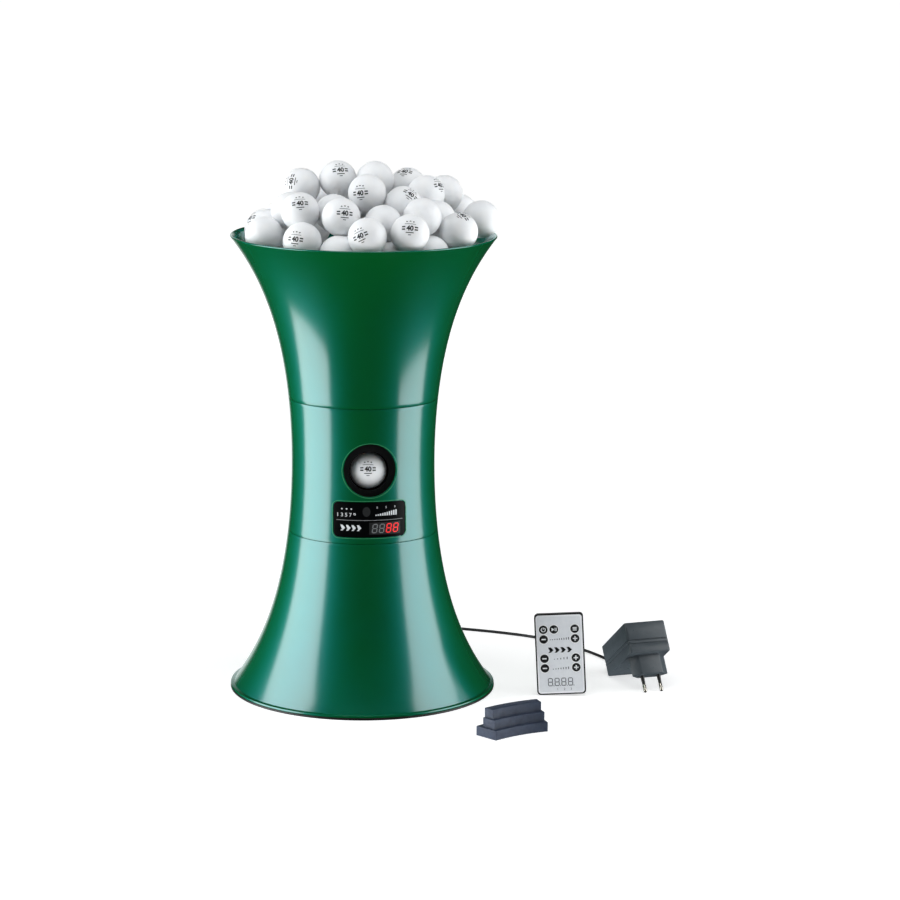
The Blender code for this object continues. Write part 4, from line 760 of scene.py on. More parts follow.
heap = {
    # The wall that the balls rest on: how low it goes, its flat sides, and the heights tried
    "ledge": 0.351, "facets": 40, "tried": 201,
    # Neighbours in a row bite into each other, and others sink a little deeper
    "bite": 0.0004, "sink": 0.0008,
    # Each pass moves a pair by this share of its error, and pulls every ball to its rough
    # place, less and less until half of the passes are done
    "passes": 1500, "share": 0.25, "pull": 0.05,
    # The lattice tried for balls under the heap, and the gap kept round these
    "lattice": {"from": 0.400, "below": 0.012, "reach": 0.120, "step": 0.004}, "gap": 0.0002,
}


def nearestWall(centres):
    # How far each ball's middle is from the hopper's wall, and the way there, outwards and up.
    # A wall of flat sides is nearest in their middles, where its radius is the full one times
    # the cosine of half a side's angle.
    heights = np.linspace(heap["ledge"], hourglass["height"], heap["tried"])
    facet = math.cos(math.pi / heap["facets"])
    wall = np.stack([innerRadius(heights) * facet, heights], -1)
    away = np.stack([np.hypot(centres[:, 0], centres[:, 1]), centres[:, 2]], -1)[:, None] - wall
    apart = np.hypot(away[..., 0], away[..., 1])
    row, nearest = np.arange(len(centres)), apart.argmin(axis=1)
    return apart[row, nearest], away[row, nearest]


def offTheWall(centres):
    # Pushes each ball that is in the wall back to it
    near, away = nearestWall(centres)
    push = (np.maximum(ballSize["radius"] - heap["bite"] - near, 0) / near)[:, None] * away
    level = push[:, 0] / np.hypot(centres[:, 0], centres[:, 1])
    centres[:, :2] += centres[:, :2] * level[:, None]
    centres[:, 2] += push[:, 1]


def settledHeap():
    # The same steps as in the CAD, so each ball lies where its solid does
    diameter = 2 * ballSize["radius"]
    rough = np.array([place for row in heapRows for place in row]) * diameter
    rough[:, 2] += hourglass["height"]
    ends = np.cumsum([len(row) for row in heapRows])
    first, second = np.triu_indices(len(rough), 1)
    inRow = (second == first + 1) & ~np.isin(second, ends)
    wanted = np.where(inRow, diameter - heap["bite"], diameter - heap["sink"])
    centres = rough.copy()
    for number in range(heap["passes"]):
        apart = centres[second] - centres[first]
        length = np.linalg.norm(apart, axis=1)
        error = np.where(inRow, length - wanted, np.minimum(length - wanted, 0))
        move = apart * (heap["share"] * error / length)[:, None]
        np.add.at(centres, first, move)
        np.add.at(centres, second, -move)
        offTheWall(centres)
        pull = heap["pull"] * max(0.0, 1 - 2 * number / heap["passes"])
        centres += pull * (rough - centres)
    return np.split(centres, ends[:-1])


def balls(name, centres, replaced=()):
    # One piece of balls: the points of one sphere of even triangles, added to each middle
    work = bmesh.new()
    bmesh.ops.create_icosphere(work, subdivisions=4, radius=ballSize["radius"])
    verts = np.array([vert.co for vert in work.verts])
    faces = np.array([[vert.index for vert in face.verts] for face in work.faces])
    work.free()
    every = (verts[None] + np.asarray(centres)[:, None]).reshape(-1, 3)
    steps = np.arange(len(centres))[:, None, None] * len(verts)
    made = piece(name, every, (faces[None] + steps).reshape(-1, 3), "matteBallPlastic", 180.0)
    return settle(made, robot, replaced)


ballPrint = {
    "figure": 0.0055, "bold": 0.035, "bar": (0.0040, 0.0014), "barAt": (0.0070, 0.0014),
    "star": 0.0012, "starArc": 0.0110, "starDown": 0.0026, "starsAt": (70, 90, 110),
    "rows": ((0.0120, 0.0005, 0.0048), (0.0085, 0.0009, -0.0048), (0.0034, 0.0008, -0.0073)),
    "lift": 0.00003,
    # Where the photograph shows a print: its pixel and its turn in degrees
    "places": ((291, 181, 80), (340.5, 169.5, 4), (360, 193, 4), (404.5, 171, -4),
               (411, 194, -35), (440, 185, 6), (300, 203, 4), (345, 213, -4), (360, 236, 24),
               (410, 228, -4), (295, 239, -8), (250, 218, 20), (463, 215, -40)),
    "outletPlace": (368, 469, 0),
}


def printShapes():
    # The ball's size in millimetres between bars, three stars in an arc and three short rows
    shapes = [label("40", ballPrint["figure"], ballPrint["bold"])]
    across, up = ballPrint["barAt"]
    shapes += [shifted(box(*ballPrint["bar"]), side * across, level * up)
               for side in (-1, 1) for level in (-1, 1)]
    for degrees in ballPrint["starsAt"]:
        angle = math.radians(degrees)
        arc = ballPrint["starArc"]
        shapes.append(shifted(star(ballPrint["star"]), arc * math.cos(angle),
                              arc * math.sin(angle) - ballPrint["starDown"], degrees - 90))
    shapes += [shifted(box(width, thick), 0, up) for width, thick, up in ballPrint["rows"]]
    return shapes


def photoRay(x, y):
    # The direction in which the camera sees a pixel of the photograph
    size, reach = view["pixels"], view["sensor"] / view["lens"]
    flat = ((x - size / 2) / size + view["shift"][0], (size / 2 - y) / size + view["shift"][1])
    axes = bpy.context.scene.camera.matrix_world.to_3x3()
    return (axes @ Vector((flat[0] * reach, flat[1] * reach, -1))).normalized()


def printOn(centres, x, y, turn):
    # The map from a flat print to the ball that the camera sees at a pixel. A ray enters a
    # sphere at a distance of along - sqrt(along squared - distance squared + radius squared),
    # and the nearest ball is the one that counts. The print lies flat on it there, its upright
    # turned from the camera's, and each of its points is drawn in towards the ball's middle
    # until it is at the radius and the lift.
    eye, ray = np.array(view["place"]), np.array(photoRay(x, y))
    radius = ballSize["radius"]
    toBall = centres - eye
    along = toBall @ ray
    inside = along ** 2 - (toBall ** 2).sum(axis=1) + radius ** 2
    reach = np.where(inside > 0, along - np.sqrt(np.maximum(inside, 0)), np.inf)
    nearest = int(reach.argmin())
    centre = centres[nearest]
    out = (eye + ray * reach[nearest] - centre) / radius
    axes = bpy.context.scene.camera.matrix_world.to_3x3()
    up = np.array(axes @ (turned("Z", turn) @ Vector((0, 1, 0))))
    up -= out * (up @ out)
    up /= np.linalg.norm(up)
    right = np.cross(up, out)

    def place(across, along):
        aim = out * radius + right * across[:, None] + up * along[:, None]
        aim /= np.linalg.norm(aim, axis=1, keepdims=True)
        return centre + aim * (radius + ballPrint["lift"])

    return place


def underHeap(placed):
    # Balls that fill the hopper under the heap: of the points of a fine lattice, taken from
    # the bottom up, each that is clear of the wall and of every ball so far gets one
    lattice, clear = heap["lattice"], ballSize["radius"] + heap["gap"]
    steps = np.arange(-lattice["reach"], lattice["reach"], lattice["step"])
    heights = np.arange(lattice["from"], hourglass["height"] - lattice["below"],
                        lattice["step"])
    up, along, across = np.meshgrid(heights, steps, steps, indexing="ij")
    tried = np.stack([across, along, up], -1).reshape(-1, 3)
    inside = np.hypot(tried[:, 0], tried[:, 1]) < innerRadius(tried[:, 2]) - clear
    tried = tried[inside & (nearestWall(tried)[0] > clear)]
    for ball in placed:
        tried = tried[np.linalg.norm(tried - ball, axis=1) > 2 * clear]
    found = []
    while len(tried):
        found.append(tried[0])
        tried = tried[np.linalg.norm(tried - tried[0], axis=1) > 2 * clear]
    return found


def makeBalls():
    rows, outletBall = settledHeap(), np.array([ballSize["outlet"]])
    for number, centres in enumerate(rows, 1):
        balls("heapBalls%d" % number, centres, ["heap_balls_%d" % number])
    balls("outletBall", outletBall, ["outlet_ball"])
    inHeap = np.concatenate(rows)
    under = underHeap(inHeap)
    print("balls under the heap:", len(under))
    balls("ballsUnderHeap", under)
    prints = [(inHeap, place) for place in ballPrint["places"]]
    prints.append((outletBall, ballPrint["outletPlace"]))
    for number, (centres, place) in enumerate(prints, 1):
        paint("ballPrint%d" % number, printShapes(), printOn(centres, *place), "blackBallInk",
              longest=0.0012)


# Handset

handset = {
    "width": 0.0526, "height": 0.0884, "thick": 0.0072, "corner": 0.0042, "round": 0.0004,
    "place": (0.2085, -0.0694, 0.001711), "yaw": -10.0, "lean": 3.2, "roll": 3.4,
    "border": 0.0012, "face": 0.0012, "faceCorner": 0.0034, "faceTop": -0.00005,
    "faceGap": 0.0003, "faceRound": 0.0001, "clear": 0.002,
    "tray": {"depth": 0.0034, "thick": 0.0026, "width": 0.0240, "reach": 0.0250, "up": 0.0190},
    "trayGap": 0.0003,
}
keys = {
    "radius": 0.0042, "root": -0.0011, "side": 0.0002, "top": 0.0004, "edge": 0.0004,
    "gap": 0.0002, "holeFrom": -0.004, "iconLift": 0.00004,
    # Two columns in from the left edge and one in from the right; rows down from the top
    "left": 0.0094, "second": 0.0207, "right": 0.0095, "down": 0.0170, "pitch": 0.01054,
}


def handsetPlace():
    # X to the handset's right, Y up its face and Z out of it, towards the viewer
    turn = (turned("Z", handset["yaw"]) @ turned("X", -handset["lean"])
            @ turned("Y", -handset["roll"]))
    return Matrix.Translation(handset["place"]) @ turn @ turned("X", 90)


def fromTop(x, down):
    # Measured on the face from its left edge and its top
    return x - handset["width"] / 2, handset["height"] - down


def keyPlaces():
    left, second, right = keys["left"], keys["second"], handset["width"] - keys["right"]
    down = [keys["down"] + keys["pitch"] * row for row in (0, 1, 3, 4)]
    places = [(left, down[0]), (second, down[0])] + [
        (x, row) for row in down for x in (left, right)][1:]
    return [fromTop(x, row) for x, row in places]


def within(border, corner):
    # The handset's front outline, drawn in by a border
    return roundedOutline(handset["width"] - 2 * border, handset["height"] - 2 * border, corner,
                          (0, handset["height"] / 2))


def keyHole(place, spot):
    # A key and its clearance, from under the face to above it
    wide = keys["radius"] + keys["gap"]
    low, high = keys["holeFrom"], handset["clear"]
    hole = revolved("keyHole", [(0, low), (wide, low), (wide, high), (0, high)], None, 48)
    hole.data.transform(place @ Matrix.Translation((*spot, 0)))
    return hole


def makeHandset():
    place = handsetPlace()
    border, corner, thick = handset["border"], handset["faceCorner"], handset["face"]
    case = slab("handsetCase", within(0, handset["corner"]), -handset["thick"], 0, place,
                "sparkTexturedBlackAbs")
    seat = slab("faceSeat", within(border, corner), -thick - handset["faceGap"],
                handset["clear"], place, None)
    tray, gap = handset["tray"], handset["trayGap"]
    middle = handset["width"] / 2 - tray["reach"] / 2 + gap
    slot = slab("traySlot", roundedOutline(tray["reach"] + 4 * gap, tray["width"] + 2 * gap,
                                           gap, (middle, tray["up"])),
                -tray["depth"] - tray["thick"] - gap, gap - tray["depth"], place, None)
    combine(case, [seat, slot], "DIFFERENCE")
    soften(case, handset["round"], 3, 60.0)
    settle(case, robot, ["handset_case"])
    gap = handset["faceGap"]
    face = slab("handsetFace", within(border + gap, corner - gap), -thick, handset["faceTop"],
                place, "silverPrintedFilm")
    combine(face, [keyHole(place, spot) for spot in keyPlaces()], "DIFFERENCE")
    soften(face, handset["faceRound"], 2, 60.0)
    settle(face, robot, ["handset_face"])
    makeKeys(place)
    makeFacePrint(place)


facePrint = {
    "field": 0.0020, "fieldCorner": 0.0018, "lift": 0.00005,
    # Rings round a key, from under its edge: the black one and the white one
    "under": 0.0001, "black": 0.00045, "white": 0.0012,
    # Scales of rising bars: across, down, width and how many bars
    "scales": ((0.0263, 0.0273, 0.0208, 9), (0.0268, 0.0487, 0.0150, 5),
               (0.0266, 0.0595, 0.0175, 7)),
    # One bar: width, least height, what the last one has more, and how far down it starts
    "bar": (0.0009, 0.0008, 0.0018, 0.0013), "barMargin": 0.0012,
    # Arrow heads: across and down; then height, back, shoulder, tip and pitch
    "arrows": ((0.0262, 0.0395), (0.0058, -0.0026, 0.0002, 0.0032, 0.0066)),
    # Digits: across, down, pitch; then width, height, stroke, slant and half the bars' gap
    "digits": (0.0120, 0.0790, 0.0072), "digit": (0.0053, 0.0089, 0.0009, 0.0, 0.0001),
    # The dot after each: radius, on from the digit, and up
    "dot": (0.0005, 0.0009, 0.0004),
    "marks": ((0.0222, 1), (0.0295, 2), (0.0367, 3)), "marksDown": 0.0824, "markHeight": 0.0024,
}


def onFace(place, lift):
    # Lays a flat print on the handset's face
    def put(x, z):
        flat = np.stack([x, z, np.full(len(x), lift), np.ones(len(x))], -1)
        return (flat @ np.array(place).T)[:, :3]
    return put


def makeFacePrint(place):
    lift, radius = facePrint["lift"], keys["radius"]

    def onto(name, shapes, height, material):
        paint(name, shapes, onFace(place, height * lift), material, longest=0.02)

    def rings(inner, outer):
        return [shifted(ring(inner, outer), x, y) for x, y in keyPlaces()]

    field = within(facePrint["field"] + handset["border"], facePrint["fieldCorner"])
    onto("faceField", [drawn(field)], 0.2, "silverFieldInk")
    under = facePrint["under"]
    onto("keyHalos", rings(radius + under, radius + facePrint["white"]), 1, "whiteOverlayInk")
    onto("keySurrounds", rings(radius - under, radius + facePrint["black"]), 1.5,
         "blackOverlayInk")

    grey = []
    wide, least, more, drop = facePrint["bar"]
    for x, down, width, count in facePrint["scales"]:
        for share in np.arange(count) / (count - 1):
            height = least + more * share
            ox, oy = fromTop(x + (share - 0.5) * (width - facePrint["barMargin"]), down)
            grey.append(shifted(box(wide, height), ox, oy - drop + height / 2))
    left, down, pitch = facePrint["digits"]
    radius, on, up = facePrint["dot"]
    for number in range(4):
        ox, oy = fromTop(left + number * pitch, down)
        grey += sevenSegments(ox, oy, *facePrint["digit"])
        grey.append(shifted(disc(radius, 12), ox + facePrint["digit"][0] + on, oy + up))
    grey += [shifted(label(str(figure), facePrint["markHeight"]),
                     *fromTop(x, facePrint["marksDown"])) for x, figure in facePrint["marks"]]
    onto("faceMarks", grey, 1, "greyOverlayInk")
    middle, sizes = facePrint["arrows"]
    onto("faceArrows", arrowHeads(*fromTop(*middle), *sizes), 1, "blackOverlayInk")


def keyIcons():
    # Power, run and pause, and list on the top row, then minus and plus three times
    power = [ring(0.0018, 0.0026, 125, 415), shifted(box(0.0008, 0.0024), 0, 0.0015)]
    run = [drawn([(-0.0024, -0.0019), (0.0006, 0), (-0.0024, 0.0019)]),
           shifted(box(0.0008, 0.0036), 0.0014, 0), shifted(box(0.0008, 0.0036), 0.0027, 0)]
    lines = [shifted(box(0.0042, 0.0008), 0, step * 0.0014) for step in (-1, 0, 1)]
    minus = [box(0.0046, 0.0013)]
    plus = [box(0.0048, 0.0013), box(0.0013, 0.0048)]
    return [power, run, lines] + [minus, plus] * 3


def makeKeys(place):
    radius, root, top, edge = (keys[key] for key in ("radius", "root", "top", "edge"))
    for number, ((x, y), icon) in enumerate(zip(keyPlaces(), keyIcons()), 1):
        body, slot = "key_%d" % number, "keys"
        key = revolved("key%d" % number, [
            (0, root), (radius, root), (radius, keys["side"]),
            *arcPoints((radius - edge, top - edge), edge, 0, 90, 3), (0, top),
        ], "blackRubber", 48, 40.0)
        key.data.transform(place @ Matrix.Translation((x, y, 0)))
        settle(key, body, ["handset_key_%d" % number])
        shapes = [shifted(shape, x, y) for shape in icon]
        paint("keyIcon%d" % number, shapes, onFace(place, top + keys["iconLift"]),
              "whiteKeyInk", body, 0.02)


# Riser

riser = {"steps": 3, "rise": 0.0099, "radius": 0.1435, "tread": 0.0043, "top": 0.0122,
         "ledge": 0.0070, "chord": 0.0640, "inset": 0.0020, "place": (0.1422, -0.2100, 0),
         "yaw": 25.5, "edge": 0.0006, "columns": 32}


def makeRiser():
    # Each layer is a rectangle of (radius, height) carried round an arc. The next one starts
    # further out and half a rise below this one's top.
    place = (Matrix.Translation(riser["place"]) @ turned("Z", riser["yaw"])
             @ Matrix.Translation((0, -riser["radius"], 0)))
    layers = []
    for number in range(riser["steps"]):
        inside = riser["radius"] + riser["tread"] * number
        outside = riser["radius"] + riser["tread"] * (riser["steps"] - 1) + riser["top"]
        outside += riser["ledge"] if number == 0 else 0
        low = max(0.0, riser["rise"] * (number - 0.5))
        high = riser["rise"] * (number + 1)
        half = math.asin((riser["chord"] / 2 - riser["inset"] * number) / riser["radius"])
        angle = np.linspace(math.pi / 2 - half, math.pi / 2 + half, riser["columns"] + 1)
        loop = np.array([(inside, low), (outside, low), (outside, high), (inside, high)])
        verts = np.stack([loop[None, :, 0] * np.cos(angle)[:, None],
                          loop[None, :, 0] * np.sin(angle)[:, None],
                          np.repeat(loop[None, :, 1], len(angle), 0)], -1).reshape(-1, 3)
        faces = gridFaces(len(angle), 4, True).tolist()
        faces += [cap[::-1] for cap in caps(len(angle), 4)]
        layer = piece("riserLayer%d" % number, verts, faces, "slateMouldedRubber")
        layer.data.transform(place)
        layers.append(layer)
    made = combine(layers[0], layers[1:], "UNION")
    made.name = "riserBlock"
    soften(made, riser["edge"])
    settle(made, robot, ["riser_block"])


# Mains adapter

adapter = {
    "width": 0.0478, "length": 0.0750, "split": 0.0147, "height": 0.0354, "corner": 0.0030,
    "leastCorner": 0.0006, "place": (0.2710, 0.0014, 0), "yaw": 12.5,
    "block": (0.0246, 0.0420, 0.0148), "blockRound": 0.0009, "reach": 0.0217,
    "fromRear": 0.0600, "groove": 0.0009, "bead": 0.0034,
    "pin": 0.0190, "pinRadius": 0.0020, "pinSpacing": 0.0190, "sleeve": 0.0100,
    # Radii of a pin's sleeve at its collar, below it and at its end, and of the metal there
    "sleeveRadii": (0.0026, 0.0022, 0.0017), "neck": 0.0016,
}


def adapterPlace():
    # X across the adapter, Y to its rear and Z away from the plug face
    reach = adapter["reach"] + adapter["pin"] - adapter["pinRadius"]
    tilt = math.degrees(math.atan2(reach, adapter["fromRear"])
                        + math.asin(adapter["pinRadius"] / math.hypot(reach, adapter["fromRear"])))
    turn = turned("Z", adapter["yaw"]) @ turned("X", -tilt)
    across = turn @ Vector((adapter["width"] / 2, 0, 0))
    return Matrix.Translation(Vector(adapter["place"]) + across) @ turn


def stacked(name, levels, place, material):
    # Rounded rectangles of the adapter's plan, one above another, from (inset, height) pairs:
    # each is smaller by the inset all round, and its corners' radius is less by it too
    rings = []
    for inset, height in levels:
        outline = roundedOutline(adapter["width"] - 2 * inset, adapter["length"] - 2 * inset,
                                 max(adapter["corner"] - inset, adapter["leastCorner"]),
                                 (0, -adapter["length"] / 2), 6)
        rings.append(np.concatenate([outline, np.full((len(outline), 1), height)], 1))
    count = len(rings[0])
    faces = gridFaces(len(rings), count, True).tolist() + caps(len(rings), count)
    made = piece(name, np.concatenate(rings), faces, material, 35.0)
    made.data.transform(place)
    return made


def makeAdapter():
    # The cover and the back meet in a groove, and another groove runs round the back
    place = adapterPlace()
    split, top, groove = adapter["split"], adapter["height"], adapter["groove"]
    cover = stacked("adapterCover", [
        (groove, split + 0.0002), (groove, split + 0.0006), (0.0002, split + 0.0008),
        (0, split + 0.0011), (0, top - 0.0014), (0.0003, top - 0.0006), (0.0008, top - 0.0002),
        (0.0016, top)], place, "sparkTexturedAdapterCase")
    settle(cover, robot, ["adapter_cover"])
    bead = split - adapter["bead"]
    back = stacked("adapterBack", [
        (0.0016, 0), (0.0008, 0.0002), (0.0003, 0.0006), (0, 0.0014), (0, bead - 0.0008),
        (0.0002, bead - 0.0005), (groove, bead - 0.0004), (groove, bead),
        (0.0002, bead + 0.0001), (0, bead + 0.0004), (0, split - 0.0004),
        (0.0002, split - 0.0001), (groove, split)], place, "sparkTexturedAdapterCase")
    flat, wide, deep = (size / 2 for size in adapter["block"])
    middle = -adapter["fromRear"]
    block = slab("plugBlock", [(flat, middle - deep), (wide, middle), (flat, middle + deep),
                               (-flat, middle + deep), (-wide, middle), (-flat, middle - deep)],
                 -adapter["reach"], split / 2, place, None)
    soften(block, adapter["blockRound"], 3, 30.0)
    combine(back, [block], "UNION", 35.0)
    settle(back, robot, ["adapter_back"])

    # Round pins: a sleeve from the plug face down, then a bare metal end with a round tip
    root = -adapter["reach"]
    bare, tip = root - adapter["sleeve"], root - adapter["pin"]
    radius, thin = adapter["pinRadius"], adapter["pinRadius"] - 0.0001
    (collar, below, least), neck = adapter["sleeveRadii"], adapter["neck"]
    sleeve = [(0, root + 0.0010), (collar, root + 0.0010), (collar, root),
              (below, root - 0.0006), (least, bare), (least - 0.0003, bare - 0.0002),
              (0, bare - 0.0002)]
    end = [(0, bare), (neck, bare), (neck, bare - 0.0006), (thin, bare - 0.0009),
           (thin, tip + radius), *arcPoints((0, tip + radius), thin, 0, -80, 6),
           (0, tip + 0.0001)]
    for side, name in ((-1, "left"), (1, "right")):
        spot = Matrix.Translation((side * adapter["pinSpacing"] / 2, middle, 0))
        for kind, outline, material, slot, cad in (
                ("adapterPin_", sleeve, "blackSleevePlastic", "black_shell",
                 ["adapter_pin_" + name]),
                ("adapterPinTip_", end, "nickelPlate", "nickel", [])):
            made = revolved(kind + name, outline, material, 32, 50.0)
            made.data.transform(place @ spot)
            settle(made, robot, cad)


# Lead

cord = {"diameter": 0.0032, "coil": (0.0350, 0.2150), "meanRadius": 0.0195, "turnsIn": 4,
        "turnsOut": 3.75, "climb": 0.5, "pitch": 0.0041, "loop": 24, "floor": 0.00175}
# The route's points, in metres: from the socket down to the coil, and from it to the adapter
cordToCoil = (
    (0.0000, 0.1500, 0.0280), (0.0000, 0.1560, 0.0280), (0.0006, 0.1640, 0.0262),
    (0.0018, 0.1730, 0.0200), (0.0034, 0.1820, 0.0126), (0.0050, 0.1910, 0.0066),
    (0.0064, 0.2000, 0.0030), (0.0072, 0.2080, 0.0018), (0.0073, 0.2147, 0.0018),
)
cordToAdapter = (
    (0.0353, 0.2417, 0.0058), (0.0420, 0.2417, 0.0056), (0.0520, 0.2414, 0.0042),
    (0.0620, 0.2406, 0.0024), (0.0720, 0.2392, 0.0018), (0.0880, 0.2356, 0.0018),
    (0.1140, 0.2262, 0.0018), (0.1405, 0.2146, 0.0018), (0.1780, 0.1958, 0.0018),
    (0.2151, 0.1713, 0.0018), (0.2440, 0.1405, 0.0018), (0.2642, 0.1068, 0.0018),
    (0.2780, 0.0780, 0.0018), (0.2851, 0.0548, 0.0018), (0.2877, 0.0413, 0.0018),
    (0.2893, 0.0304, 0.0028), (0.2903, 0.0249, 0.0052),
)


def coilPoints():
    # A flat spiral inwards, half a turn of climbing, and a spiral outwards on top of it: the
    # radius changes by the pitch for each turn, and the points are at equal angles
    inmost = cord["meanRadius"] - cord["pitch"] * cord["turnsIn"] / 2
    turns = cord["turnsIn"] + cord["climb"] + cord["turnsOut"]
    turn = np.linspace(0, turns, round(turns * cord["loop"]) + 1)
    up = np.clip((turn - cord["turnsIn"]) / cord["climb"], 0, 1)
    inward = inmost + cord["pitch"] * (cord["turnsIn"] - turn)
    outward = inmost + cord["pitch"] * np.maximum(turn - cord["turnsIn"] - cord["climb"], 0)
    radius = np.where(turn <= cord["turnsIn"], inward, outward)
    angle = math.pi - tau * turn
    return np.stack([cord["coil"][0] + radius * np.cos(angle),
                     cord["coil"][1] + radius * np.sin(angle),
                     cord["floor"] + cord["pitch"] * up], -1)


def smoothRoute(points, spacing, steps=40):
    # Even points on one smooth curve through the route's points. Between two of them it is a
    # cubic in t, from 0 to 1, whose direction at each is that from the point before it to
    # the point after it.
    route = np.array(points)
    route = np.concatenate([[2 * route[0] - route[1]], route, [2 * route[-1] - route[-2]]])
    t = (np.arange(steps) / steps)[None, :, None]
    before, here, there, after = (route[k:len(route) - 3 + k, None] for k in range(4))
    fine = 0.5 * (2 * here + (there - before) * t + (2 * before - 5 * here + 4 * there - after)
                  * t ** 2 + (3 * here - before - 3 * there + after) * t ** 3)
    fine = np.concatenate([fine.reshape(-1, 3), route[-2:-1]])
    along = np.concatenate([[0], np.cumsum(np.linalg.norm(np.diff(fine, axis=0), axis=1))])
    wanted = np.linspace(0, along[-1], max(3, round(along[-1] / spacing) + 1))
    return np.stack([np.interp(wanted, along, fine[:, axis]) for axis in range(3)], -1)


def cordCurve(name, points, diameter):
    data = bpy.data.curves.new(name, "CURVE")
    data.dimensions = "3D"
    data.bevel_depth = diameter / 2
    data.bevel_resolution = 5
    data.use_fill_caps = True
    spline = data.splines.new("POLY")
    spline.points.add(len(points) - 1)
    spline.points.foreach_set("co", np.concatenate([points, np.ones((len(points), 1))], 1).ravel())
    data.materials.append(finish("blackPvcSheath"))
    return added(name, data)


def makeLead():
    inner = smoothRoute(cordToCoil, 0.002)
    outer = smoothRoute(cordToAdapter, 0.004)
    points = np.concatenate([inner, coilPoints()[1:-1], outer])
    lead = cordCurve("lead", points, cord["diameter"])
    settle(lead, robot, ["cord_to_coil", "cord_coil", "cord_to_adapter"])


# Finishes of the CAD nodes that stay

def finishNodes():
    for material, names in {
        "sparkTexturedBlackAbs": ("ball_chute", "chassis_plate", "feed_deck", "feed_disc",
                                  "throw_frame", "dc_socket", "battery_tray"),
        "blackRubber": ("adapter_relief", "dc_plug"),
        "greyNylon": ("upper_wheel_hub", "lower_wheel_hub"),
        "zincPlatedSteel": ("upper_motor", "lower_motor", "feed_motor", "feed_shaft",
                            "upper_wheel_shaft", "lower_wheel_shaft"),
        "nickelPlate": ("coin_cell",),
        "solderMaskLacquer": ("power_board", "display_board", "handset_board"),
    }.items():
        for slot in [slot for name in names for slot in nodes[name].material_slots]:
            slot.material = finish(material)


# Studio

studio = {
    "floor": 30.0, "ambient": 0.04, "bounce": 0.2, "dark": 0.01, "tint": (0.97, 0.99, 1.0),
    # The backdrop that gloss sees: white out to the first angle round +Y, gone at the second
    "backdropFull": 14.0, "backdropEnd": 20.0,
    # The floor's own glow for the camera: how strong near the object, and where it rises to 1
    "glowNear": 0.6, "glowFrom": 0.5, "glowTo": 2.5,
    # Softboxes: turn in degrees from the camera, reach, height, height of the aim, width,
    # tallness, radiance, and whether gloss shows them
    "lamps": {"left": (-79, 1.7, 0.55, 0.55, 1.70, 2.7, 3.5, True),
              "right": (79, 1.7, 0.70, 0.70, 1.45, 2.4, 2.7, True),
              "leftLow": (-82, 1.7, -1.60, -1.60, 2.00, 1.6, 9.0, False),
              "rightLow": (82, 1.7, -1.30, -1.30, 1.80, 1.6, 6.0, False),
              "front": (0, 1.1, 2.30, 0.35, 1.80, 1.0, 2.2, False),
              "top": (0, 0.3, 2.20, 0.40, 1.20, 0.9, 2.6, True)},
}


def makeLamps():
    # Area lamps round the object. One that gloss doesn't show fills the shade and leaves no
    # highlight.
    toCamera = Vector((view["place"][0], view["place"][1], 0)).normalized()
    for name, lamp in studio["lamps"].items():
        turn, away, height, aim, width, tall, radiance, inGloss = lamp
        data = bpy.data.lights.new(name, "AREA")
        data.shape = "RECTANGLE"
        data.size, data.size_y = width, tall
        data.energy = radiance * math.pi * width * tall
        data.color = studio["tint"]
        made = added(name, data)
        made.location = turned("Z", turn) @ toCamera * away + Vector((0, 0, height))
        facing = Vector((0, 0, aim)) - made.location
        made.rotation_euler = facing.to_track_quat("-Z", "Y").to_euler()
        made.visible_camera, made.visible_glossy = False, inGloss


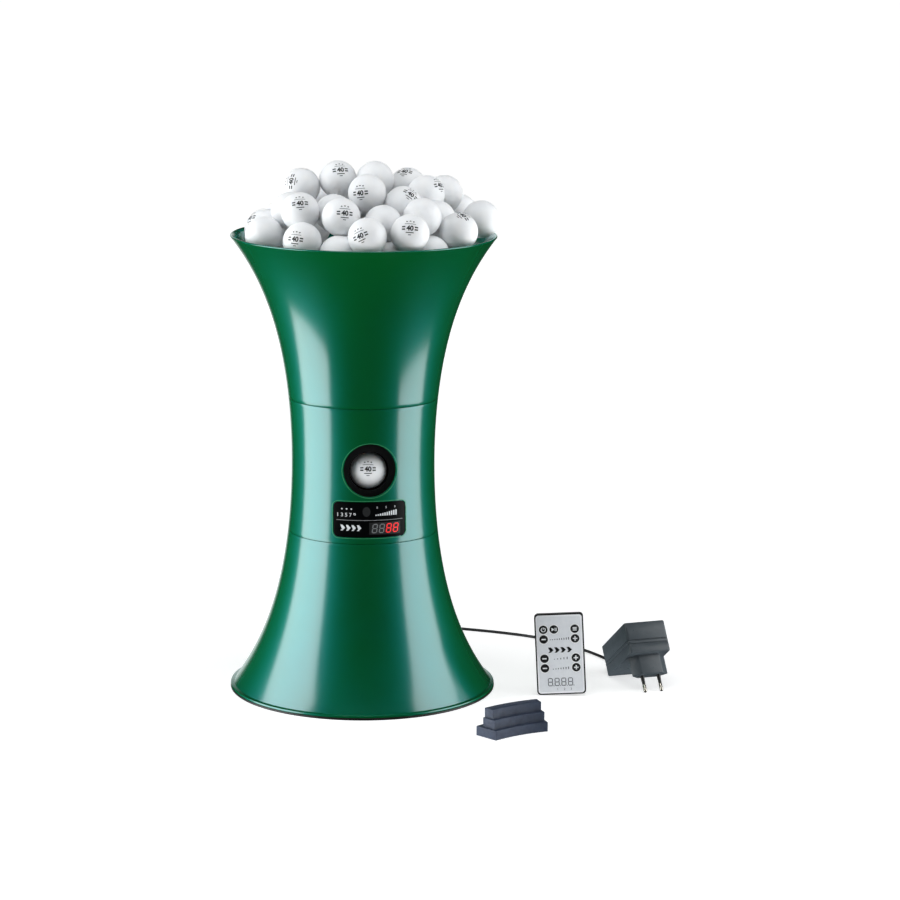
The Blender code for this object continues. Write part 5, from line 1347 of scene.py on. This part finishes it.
def makeWorld():
    # The camera and clear things see white. Gloss sees the white backdrop straight behind the
    # object and a dark room all round, and matte surfaces get what the white table throws
    # back from below and a faint even fill from above.
    world = bpy.data.worlds.new("studio")
    bpy.context.scene.world = world
    world.use_nodes = True
    tree = world.node_tree
    tree.nodes.clear()
    white = (1, 1, 1, 1)
    path = addNode(tree, "LightPath")
    seen = addNode(tree, "Math", {0: path.outputs["Is Camera Ray"],
                                  1: path.outputs["Is Transmission Ray"]},
                   operation="ADD", use_clamp=True)
    way = addNode(tree, "TexCoord")
    axes = addNode(tree, "SeparateXYZ", {"Vector": way.outputs["Generated"]})
    edge, full = (math.cos(math.radians(studio[key])) for key in ("backdropEnd", "backdropFull"))
    backdrop = addNode(tree, "MapRange", {"Value": axes.outputs["Y"], "From Min": edge,
                                          "From Max": full, "To Min": studio["dark"],
                                          "To Max": 1.0})
    table = addNode(tree, "MapRange", {"Value": axes.outputs["Z"], "From Min": 0.05,
                                       "From Max": -0.05, "To Min": studio["ambient"],
                                       "To Max": studio["bounce"]})
    fill = addNode(tree, "Background", {"Color": white, "Strength": table.outputs["Result"]})
    mirror = addNode(tree, "Background", {"Color": white,
                                          "Strength": backdrop.outputs["Result"]})
    plain = addNode(tree, "Background", {"Color": white, "Strength": 1.0})
    unseen = addNode(tree, "MixShader", {0: path.outputs["Is Glossy Ray"],
                                         1: fill.outputs[0], 2: mirror.outputs[0]})
    both = addNode(tree, "MixShader", {0: seen.outputs[0], 1: unseen.outputs[0],
                                       2: plain.outputs[0]})
    addNode(tree, "OutputWorld", {"Surface": both.outputs[0]})


def floorPaper():
    # White paper that the camera sees glow a little more with the distance from the object
    made = finish("whiteFloorPaper")
    tree = made.node_tree
    shader = tree.nodes["Principled BSDF"]
    where = addNode(tree, "TexCoord")
    away = addNode(tree, "VectorMath", {0: where.outputs["Object"]}, operation="LENGTH")
    glow = addNode(tree, "MapRange", {"Value": away.outputs["Value"],
                                      "From Min": studio["glowFrom"],
                                      "From Max": studio["glowTo"],
                                      "To Min": studio["glowNear"], "To Max": 1.0})
    path = addNode(tree, "LightPath")
    shown = addNode(tree, "Math", {0: path.outputs["Is Camera Ray"],
                                   1: glow.outputs["Result"]}, operation="MULTIPLY")
    shader.inputs["Emission Color"].default_value = (1, 1, 1, 1)
    tree.links.new(shown.outputs[0], shader.inputs["Emission Strength"])
    return made.name


def makeStudio():
    bpy.context.scene.view_settings.view_transform = "Standard"
    makeWorld()
    makeLamps()
    # The side lamps reach below the floor, so it lets their light and mirror image past, and
    # the world stands in for the light that it throws back
    size = studio["floor"]
    floor = piece("studioFloor", [(-size, -size, 0), (size, -size, 0), (size, size, 0),
                                  (-size, size, 0)], [[0, 1, 2, 3]], floorPaper())
    floor.visible_glossy = floor.visible_diffuse = floor.visible_shadow = False


# Making

makeCamera()
makeLead()
print("shells")
makeLowerShell()
makeBasePlate()
makeMiddleShell()
makeUpperShell()
print("window")
makeWindow()
print("barrel and wheels")
makeBarrel()
makeWheels()
print("balls")
makeBalls()
print("handset")
makeHandset()
print("riser and adapter")
makeRiser()
makeAdapter()
print("finishes and studio")
finishNodes()
makeStudio()
